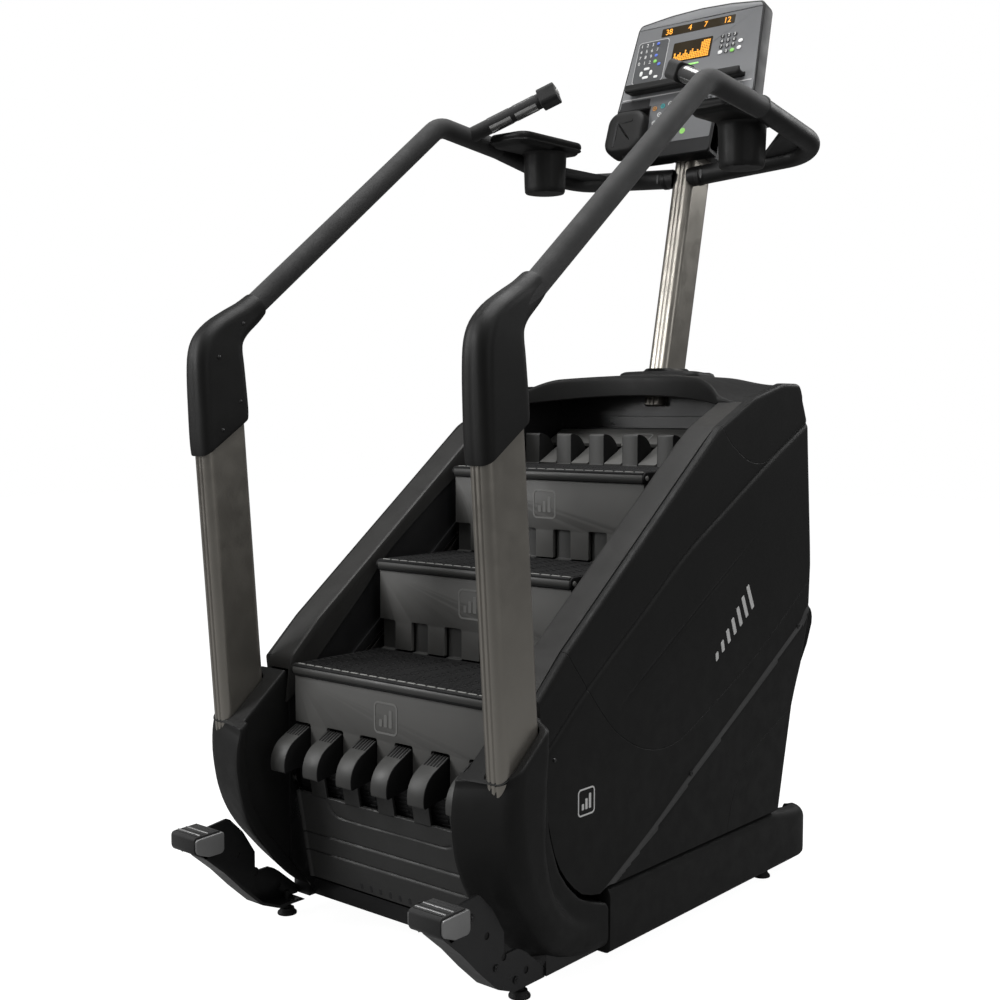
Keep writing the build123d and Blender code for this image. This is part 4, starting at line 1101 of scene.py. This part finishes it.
# ---- kick panel ----
def kick_panel():
    """Plate with three grooves, rolled side rims and a row of slots low down."""
    lower, upper = Vector((-340.0, 95.0)), Vector((-387.0, 345.0))
    along = (upper - lower).normalized()
    normal = Vector((-along.y, along.x))
    xs = [x for x, _ in spaced([(-RISER_HALF, 0.0), (RISER_HALF, 0.0)], 150)]
    levels = [0, 1.5, 4, 10, 20, 30, 40, 50, 56, 59, 61, 63, 65, 67, 69, 72, 80, 90, 98, 101, 103, 105, 107,
              109, 111, 114, 122, 132, 142, 148, 151, 153, 155, 157, 159, 161, 163, 165, 168, 172, 176, 180,
              185, 190, 195, 199, 201]
    grooves = [flowing([(-175, 186), (-168, 172), (-150, 162), (-100, 160), (0, 160), (100, 160),
                        (150, 160), (170, 166)], 8), [(-185, 107), (185, 107)], [(-185, 65), (185, 65)]]
    flat = [(x, d) for d in levels for x in xs]
    depth = np.zeros(len(flat))
    for line in grooves:
        depth += 3.2 * np.exp(-((reach(flat, line) / 2.4) ** 4))
    side = RISER_HALF - np.abs(np.array(flat)[:, 0])
    proud = 3.0 * smooth_step((12 - side) / 4) - roll(side, 2.5)
    proud -= roll(np.array([min(d, levels[-1] - d) for _, d in flat]), 2.0)
    front, back = [], []
    for (x, d), dip, rim in zip(flat, depth, proud):
        at = lower + along * d + normal * (rim - dip)
        front.append((x, at.x, at.y))
        at = lower + along * d - normal * 7
        back.append((x, at.x, at.y))
    plate = sheet(front, back, len(xs))

    def on_plate(u, v, w):
        at = lower + along * v + normal * w
        return (u, at.x, at.y)

    for left, right in ((-223, -177), (-123, -77), (-23, 23), (77, 123), (177, 223)):
        plate.add(prism(oblong((left, right), (196, 253), 4, 15), -7, 0.0, on_plate, 1.2, 2))
    make("grooved_kick_panel", plate, "kick", ["kick_panel"], crease=45)
    # The slots are solid black bars standing proud of the plate: painted shade in place of the dark
    # openings.
    slots = Shape()
    for k in range(9):
        x = -112 + k * 28
        slots.add(prism(oblong((x, x + 7), (7, 21), 2.5), -2.0, 0.35, on_plate, 0.15, 1))
    make("kick_slots_painted_shade", slots, "oval", [])


# ---- feet and pegs ----
def feet():
    bell = [(0.01, 0.0), (18, 0.0), (21.2, 1.0), (21.5, 3.0), (20.8, 5.5), (17.5, 8.5), (15.8, 11.5),
            (15.4, 14.5), (14.5, 15.0), (9, 15.2), (9, 19), (6, 19.4), (6, 52), (0.01, 52)]
    for name, x, y in (("front_foot", 332.0, -356.0), ("rear_foot", 345.0, 533.0)):
        shape = turning(bell, lambda u, v, w, x=x, y=y: (x + u, y + v, w), 48)
        make_sides("bell_" + name, shape, "rubber", [name + "_{}"], name + "_{}")


BRACKET_HOLES = [(-478, 160), (-430, 106), (-366, 62)]


def pegs():
    """Alloy step with a black grip wrapped round its front and top."""
    core = rounded([(-624, 206, 13), (-624, 235, 6), (-552, 238, 6), (-552, 193, 10), (-592, 193, 12)])
    body = prism(core, 298, 383, across, 2.0, 3)
    wrap = rounded([(-626.5, 205, 14), (-626.5, 240, 8), (-560, 241.5, 4), (-560, 224, 3), (-600, 220, 8),
                    (-606, 205, 6), (-590, 190.5, 3), (-594, 190.0, 3)])
    peg = Shape().add(body, 0)
    peg.add(prism(wrap, 302, 379, across, 1.6, 2), 1)
    for y in (-610.0, -590.0):
        strip = oblong((304, 377), (y - 1.8, y + 1.8), 1.4, 30)
        peg.add(prism(strip, 238.5, 242.6, upward, 0.6, 1), 0)
    for y in (-617.0, -600.0, -580.0, -570.0):
        strip = oblong((306, 375), (y - 1.2, y + 1.2), 1.0, 30)
        peg.add(prism(strip, 238.5, 242.0, upward, 0.5, 1), 1)
    make_sides("grip_peg", peg, ["peg", "sleeve"], ["foot_pegs"])
    bolts = Shape()
    for y, z in ((-452, 92), (-396, 52), (-520, 205)):
        profile = [(0.01, 4.0), (3.0, 4.0), (3.4, 3.0), (6.5, 3.0), (7.0, 2.4), (7.0, 0), (0.01, -0.2)]
        bolts.add(turning(profile, lambda u, v, w, y=y, z=z: (356 + w, y + u, z + v), 20))
    make_sides("bracket_bolts", bolts, "frame", [])
    plugs = Shape()
    for y, z in BRACKET_HOLES:
        dome = [(0.01, 2.2), (7.0, 2.0), (12.0, 1.2), (12.6, 0.0), (0.01, -0.4)]
        plugs.add(turning(dome, lambda u, v, w, y=y, z=z: (352.2 + w, y + u, z + v), 28))
    make_sides("bracket_plugs", plugs, "rubber", [])


# ---- cup holders ----
def ray_ring(centre, line, level, count=112):
    """Points of a closed outline at even angles round a centre inside it."""
    at = np.array(line, float) - np.array(centre)
    angles = np.unwrap(np.arctan2(at[:, 1], at[:, 0]))
    if angles[-1] < angles[0]:
        at, angles = at[::-1], angles[::-1]
    size = np.hypot(at[:, 0], at[:, 1])
    full = np.concatenate([angles - 2 * pi, angles, angles + 2 * pi])
    sizes = np.concatenate([size] * 3)
    ring = []
    for k in range(count):
        a = 2 * pi * k / count
        while a < full[0] + pi:
            a += 2 * pi
        r = float(np.interp(a, full, sizes))
        ring.append((centre[0] + r * cos(a), centre[1] + r * sin(a), level))
    return ring


def cup_holders():
    """Deep cup under a rounded tray."""
    cup = (290.0, 500.0)
    tray = spaced(oblong((230, 358), (344, 596), 30, arc=4.0), 400, closed=True)
    rings = []
    for radius, level in ((2, 1669), (38, 1669), (44, 1672), (46, 1680), (49.5, 1790), (51, 1796),
                          (53, 1799)):
        rings.append(ray_ring(cup, disc(cup, radius, 96), level))
    for squeeze, level in ((10, 1799), (5, 1798), (2, 1795.5), (0.3, 1791), (0, 1786), (1.8, 1783),
                           (1.8, 1781), (0.4, 1778), (2.5, 1776), (7, 1775), (9, 1772), (12, 1769),
                           (15, 1767)):
        rings.append(ray_ring(cup, inset(tray, squeeze), level))
    for radius, level in ((59, 1766), (56.5, 1763), (55.6, 1757), (53.0, 1678), (52.0, 1669), (49, 1665),
                          (44, 1664), (2, 1664)):
        rings.append(ray_ring(cup, disc(cup, radius, 96), level))
    shape = skin(rings)
    flat = []
    for x, y, z in shape.points:
        away = Vector((x - cup[0], y - cup[1]))
        if 1668 < z < 1760 and away.length > 51.5:
            a = atan2(away.y, away.x)
            pull = 1.0 * (0.5 + 0.5 * cos(8 * a)) ** 2
            away *= (away.length - pull) / away.length
        flat.append((cup[0] + away.x, cup[1] + away.y, z))
    shape.points = flat
    make_sides("cup_tray", shape, "cover", ["cup_holders"], crease=45)


# ---- rails ----
def rail_details():
    """Collar where each grip sleeve ends, and slots near the ends of the crossbar."""
    start, end = Vector((382, 419, 1781)), Vector((382, 730, 1724))
    along = (end - start).normalized()
    line = [tuple(start + along * d) for d in (-1, 0, 1, 6, 8, 9)]
    collar = tube(line, [22.4, 24.4, 25.2, 25.2, 24.4, 22.4], 40)
    make_sides("sleeve_collar", collar, "tube", [])
    # The slot is a thin black plate on the tube: painted shade in place of an opening.
    slot = prism(oblong((62, 68), (1690, 1712), 3), 681.6, 683.2, lambda u, v, w: (u, w, v), 0.4, 1)
    make_sides("crossbar_slot_painted_shade", slot, "oval", [])
    ring = tube([(44.0, 705, 1700), (46, 705, 1700), (56, 705, 1700.4), (58, 705, 1700.4)],
                [22.6, 24.4, 24.4, 22.6], 40)
    make_sides("crossbar_collar", ring, "tube", [])


# ---- console ----
def face_line(shrink=0.0):
    corners = [(-206, 2, 3), (-190, 240, 4), (-183, 255, 14), (-90, 267, 200), (0, 271, 200),
               (90, 267, 200), (183, 255, 14), (190, 240, 4), (206, 2, 3)]
    return inset(rounded(corners, arc=6.0), shrink)


def digit(text, at, size, level):
    """A figure laid on the console face."""
    curve = bpy.data.curves.new("figure", "FONT")
    curve.body = text
    curve.size = 1.0
    curve.align_x = "CENTER"
    curve.align_y = "CENTER"
    curve.extrude = 0.02
    figure = bpy.data.objects.new("figure", curve)
    bpy.context.scene.collection.objects.link(figure)
    bpy.context.view_layer.update()
    mesh = bpy.data.meshes.new_from_object(figure)
    points = [on_face(at[0] + v.co.x * size, at[1] + v.co.y * size,
                      level + v.co.z * size) for v in mesh.vertices]
    shape = Shape(points, [tuple(p.vertices) for p in mesh.polygons])
    bpy.data.objects.remove(figure)
    bpy.data.curves.remove(curve)
    bpy.data.meshes.remove(mesh)
    return shape


def keys():
    """All keys and prints of the console by finish."""
    found = {look: Shape() for look in ("oval", "white", "green", "blue", "red", "teal", "orange", "print",
                                        "line", "amber", "lime", "housing")}

    def knob(look, at, half, level=0.8, tall=0.9):
        line = oblong((at[0] - half[0], at[0] + half[0]), (at[1] - half[1], at[1] + half[1]),
                      min(half) - 0.2, 15)
        found[look].add(prism(line, level, level + tall, on_face, 0.35, 2))

    for i in range(9):
        at = (84 + (i % 3) * 17.5, 172 - (i // 3) * 14.5)
        knob("oval", at, (6.2, 5.6))
        found["print"].add(digit(str(i + 1), at, 11.5, 1.9))
    for look, at in (("white", (84, 127)), ("oval", (101.5, 127)), ("green", (119, 127)),
                     ("white", (138, 131)), ("white", (139, 150))):
        knob(look, at, (6.4, 5.0))
    found["print"].add(digit("0", (101.5, 127), 11.5, 1.9))
    for row in range(4):
        for column in range(4):
            at = (-165 + column * 17, 189 - row * 17)
            if (row, column) == (3, 3):
                knob("green", at, (5.2, 5.0), 0.9)
            elif (row, column) in ((0, 3), (2, 3)):
                knob("blue", at, (4.8, 4.0), 0.9)
            else:
                found["print"].add(digit(str((row * 3 + column + 1) % 10), at, 13.0, 0.7))
    ring_at = (-136, 107)
    for dx, dy, half in ((0, 12.5, (9, 3.8)), (0, -12.5, (9, 3.8)), (-15, 0, (4.4, 7)), (15, 0, (4.4, 7))):
        knob("white", (ring_at[0] + dx, ring_at[1] + dy), half, 0.9)
    knob("blue", (-100, 128), (5.2, 4.4), 0.9)
    knob("white", (-103, 92), (6, 3.6), 0.9)
    icons = [("orange", (-84, -3)), ("teal", (-60, 1)), ("print", (-38, 5)), ("print", (-66, -22)),
             ("print", (-40, -18)), ("print", (-14, -14)), ("print", (-78, -44)), ("print", (-52, -42))]
    for look, at in icons:
        outer = disc(at, 6.2, 20)
        inner = disc(at, 4.4, 20)
        levels = ((outer, 0.7), (outer, 1.2), (inner, 1.2), (inner, 0.7))
        rings = [[on_face(u, v, w) for u, v in line] for line, w in levels]
        found[look].add(skin(rings + rings[:1], caps=False))
        found[look].add(prism(disc(at, 1.8, 12), 0.7, 1.2, on_face))
    for row in range(4):
        for column in range(8):
            at = (12 + column * 10, 4 - row * 11)
            dot = oblong((at[0] - 3, at[0] + 3), (at[1] - 2, at[1] + 2), 1.5, 30)
            found["oval"].add(prism(dot, 0.7, 1.1, on_face))
    bars = (5, 3, 4, 5, 3, 4, 6, 4, 3, 5, 6, 4, 4, 5, 4, 9, 10, 10, 10, 10)
    for column, tall in enumerate(bars):
        for row in range(tall):
            u, v = -57 + column * 5.3, 126.5 + row * 4.8
            lamp = oblong((u, u + 4.1), (v, v + 3.6), 0.6, 45)
            found["amber"].add(prism(lamp, 0.1, 0.6, on_face))
    for text, at in (("38", (-87, 217)), ("4", (-23, 218)), ("7", (24, 218)), ("12", (88, 217))):
        found["amber"].add(digit(text, at, 22.0, 0.5))
    found["lime"].add(prism(oblong((-12, 24), (108, 112), 2, 20), 0.2, 1.0, on_face, 0.3, 1))
    found["line"].add(prism(oblong((-192, 192), (33.5, 36.5), 0.5, 45), 0.1, 0.7, on_face))
    return found


def console():
    shell = prism(face_line(), -42, 1.2, on_face, 3.0, 3)
    lower = prism(oblong((-103, 103), (-142, 4), 8), -42, 0.6, on_face, 2.5, 3)
    back = Shape().add(shell).add(lower)
    make("console_surround", back, "housing", [], crease=35)
    face = prism(face_line(5.5), 0.6, 2.0, on_face, 0.6, 2)
    panel = prism(oblong((-98, 98), (-104, 30), 4), 0.4, 1.4, on_face, 0.4, 2)
    make("console_plate", Shape().add(face).add(panel), "face", ["console_face"], crease=30)


def console_details():
    lift = 2.0
    film = prism(oblong((-175, -83), (81, 199), 8), lift - 0.4, lift + 0.5, on_face, 0.2, 1)
    rim = prism(oblong((-177, -81), (79, 201), 9), lift - 0.6, lift + 0.2, on_face, 0.2, 1)
    make("left_pad_rim", rim, "line", [])
    make("left_pad_film", film, "pad_film", ["keypad_overlays"])
    window = prism(oblong((-64, 54), (122, 180), 3), lift - 0.6, lift + 0.3, on_face, 0.2, 1)
    strip = prism(oblong((-110, 110), (205, 230), 3), lift - 0.6, lift + 0.3, on_face, 0.2, 1)
    make("matrix_window", window, "glass", ["console_screen"])
    make("readout_window", strip, "glass", ["readout_strip"])
    for look, shape in keys().items():
        raised = shape.moved(lambda x, y, z: lifted(x, y, z, lift))
        if raised.points:
            make("console_" + look, raised, look, [], crease=50)


def lifted(x, y, z, distance):
    a = radians(CONSOLE_TILT)
    return (x, y - cos(a) * distance, z + sin(a) * distance)


def ledge():
    """Reading rack with a soft upturned lip."""
    profile = rounded([(46, 0, 2), (42, 18, 6), (39, 30, 5), (46, 35, 5), (60, 35, 3.5), (61, 29, 3),
                       (53, 25, 6), (56, 8, 8), (63, 0, 2)], arc=12)
    rings = []
    for x, squeeze in ((-170, 5.5), (-169, 2.5), (-166, 0.8), (-161, 0), (161, 0), (166, 0.8), (169, 2.5),
                       (170, 5.5)):
        rings.append([on_face(x, v, w) for v, w in inset(profile, squeeze * 0.4)])
    make("reading_rack", skin(rings), "cover", ["reading_ledge"], crease=40)


def pouch():
    """Soft-edged open pouch beside the lower panel."""
    outer = oblong((-211, -95), (-129, -7), 36, arc=6)
    rings = []
    for squeeze, level in ((14, -30), (5, -27), (1, -20), (0, -8), (0, 8), (1, 17), (4, 23), (9, 26),
                           (16, 27.4), (24, 28), (32, 28), (40, 28)):
        rings.append([on_face(u, v, level) for u, v in inset(outer, squeeze)])
    shape = skin(rings)
    make("accessory_pouch", shape, "cover", ["accessory_pocket"], crease=45)
    # The slot in the pouch and the recess above it are solid black plates: painted shade in place of the
    # openings.
    slot = prism(oblong((-179, -173), (-112, -40), 2.5), 20, 28.6, on_face, 0.4, 1)
    make("pouch_slot_painted_shade", slot, "oval", [])
    recess = prism(oblong((-196, -104), (4, 30), 4), 1.2, 2.5, on_face, 0.4, 1)
    make("pouch_recess_painted_shade", recess, "oval", [])


# ---- carried-over nodes ----
CARRIED = {"base_frame": "frame", "side_frame_right": "frame", "side_frame_left": "frame",
           "wheel_axles": "steel", "rear_panel": "cover", "handrail_right": "sleeve",
           "handrail_left": "sleeve", "hand_grip_right": "sleeve", "hand_grip_left": "sleeve",
           "loop_tubes": "tube", "grip_contacts": "contact", "peg_brackets": "frame",
           "console_back": "housing", "shaft_bearings": "cast", "step_chains": "chain",
           "drive_belt": "belt", "motor_unit": "motor", "controller_box": "case", "return_steps": "tread",
           "drive_shaft": "steel", "idler_shaft": "steel", "motor_shaft": "steel",
           "transport_wheel_right": "rubber", "transport_wheel_left": "rubber", "grip_button_right": "red",
           "grip_button_left": "button", "start_key": "green", "stop_key": "red"}


def carried_over():
    for name, look in CARRIED.items():
        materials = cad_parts[name].data.materials
        if not materials:
            materials.append(LOOK[look])
        for i in range(len(materials)):
            materials[i] = LOOK[look]


# ---- stage ----
def area_light(name, at, aim, size, power, tint=(1, 1, 1)):
    data = bpy.data.lights.new(name, "AREA")
    data.shape = "RECTANGLE"
    data.size, data.size_y = size
    data.energy = power
    data.color = tint
    light = bpy.data.objects.new(name, data)
    light.location = at
    light.rotation_euler = (Vector(aim) - Vector(at)).to_track_quat("-Z", "Y").to_euler()
    bpy.context.scene.collection.objects.link(light)


FLOOR_HALF = 14.0


def stage():
    mesh = bpy.data.meshes.new("floor")
    corners = [(u * FLOOR_HALF, v * FLOOR_HALF, 0.0) for u, v in ((-1, -1), (1, -1), (1, 1), (-1, 1))]
    mesh.from_pydata(corners, [], [(0, 1, 2, 3)])
    floor = bpy.data.objects.new("floor", mesh)
    material, nodes, shader = new_material("pale_floor")
    seen = nodes.add("LightPath").outputs["Is Camera Ray"]
    for label, value in (
        ("Base Color", (0.22, 0.22, 0.22, 1)),
        ("Roughness", 0.95),
        ("Specular IOR Level", 0.05),
        ("Emission Color", (1, 1, 1, 1)),
        ("Emission Strength", nodes.ramp(seen, 0.0, 1.0, 0.05, 0.975)),
    ):
        nodes.feed(shader, label, value)
    mesh.materials.append(material)
    bpy.context.scene.collection.objects.link(floor)
    world = bpy.data.worlds.new("studio")
    bpy.context.scene.world = world
    world.use_nodes = True
    nodes = Nodes(world.node_tree)
    seen = nodes.add("LightPath").outputs["Is Camera Ray"]
    back = world.node_tree.nodes["Background"]
    nodes.feed(back, "Color", (1, 1, 1, 1))
    nodes.feed(back, "Strength", nodes.ramp(seen, 0.0, 1.0, 0.15, 1.0))
    area_light("overhead", (0.2, 0.0, 4.6), (0, 0, 0.6), (3.4, 3.4), 165)
    area_light("left_key", (-2.6, -3.0, 2.6), (0, -0.1, 1.0), (1.2, 2.6), 95)
    area_light("right_fill", (3.4, -1.0, 2.4), (0, 0.1, 0.9), (1.0, 2.4), 14)
    area_light("back_rim", (1.4, 3.4, 3.0), (0, 0.3, 1.1), (2.6, 1.2), 40)
    bpy.context.scene.view_settings.view_transform = "Standard"


# ---- build ----
columns()
elbows()
side_covers()
slope_caps()
boots()
skirts()
hood()
mast_collar()
stairs()
kick_panel()
feet()
pegs()
cup_holders()
rail_details()
console()
console_details()
ledge()
pouch()
carried_over()
stage()
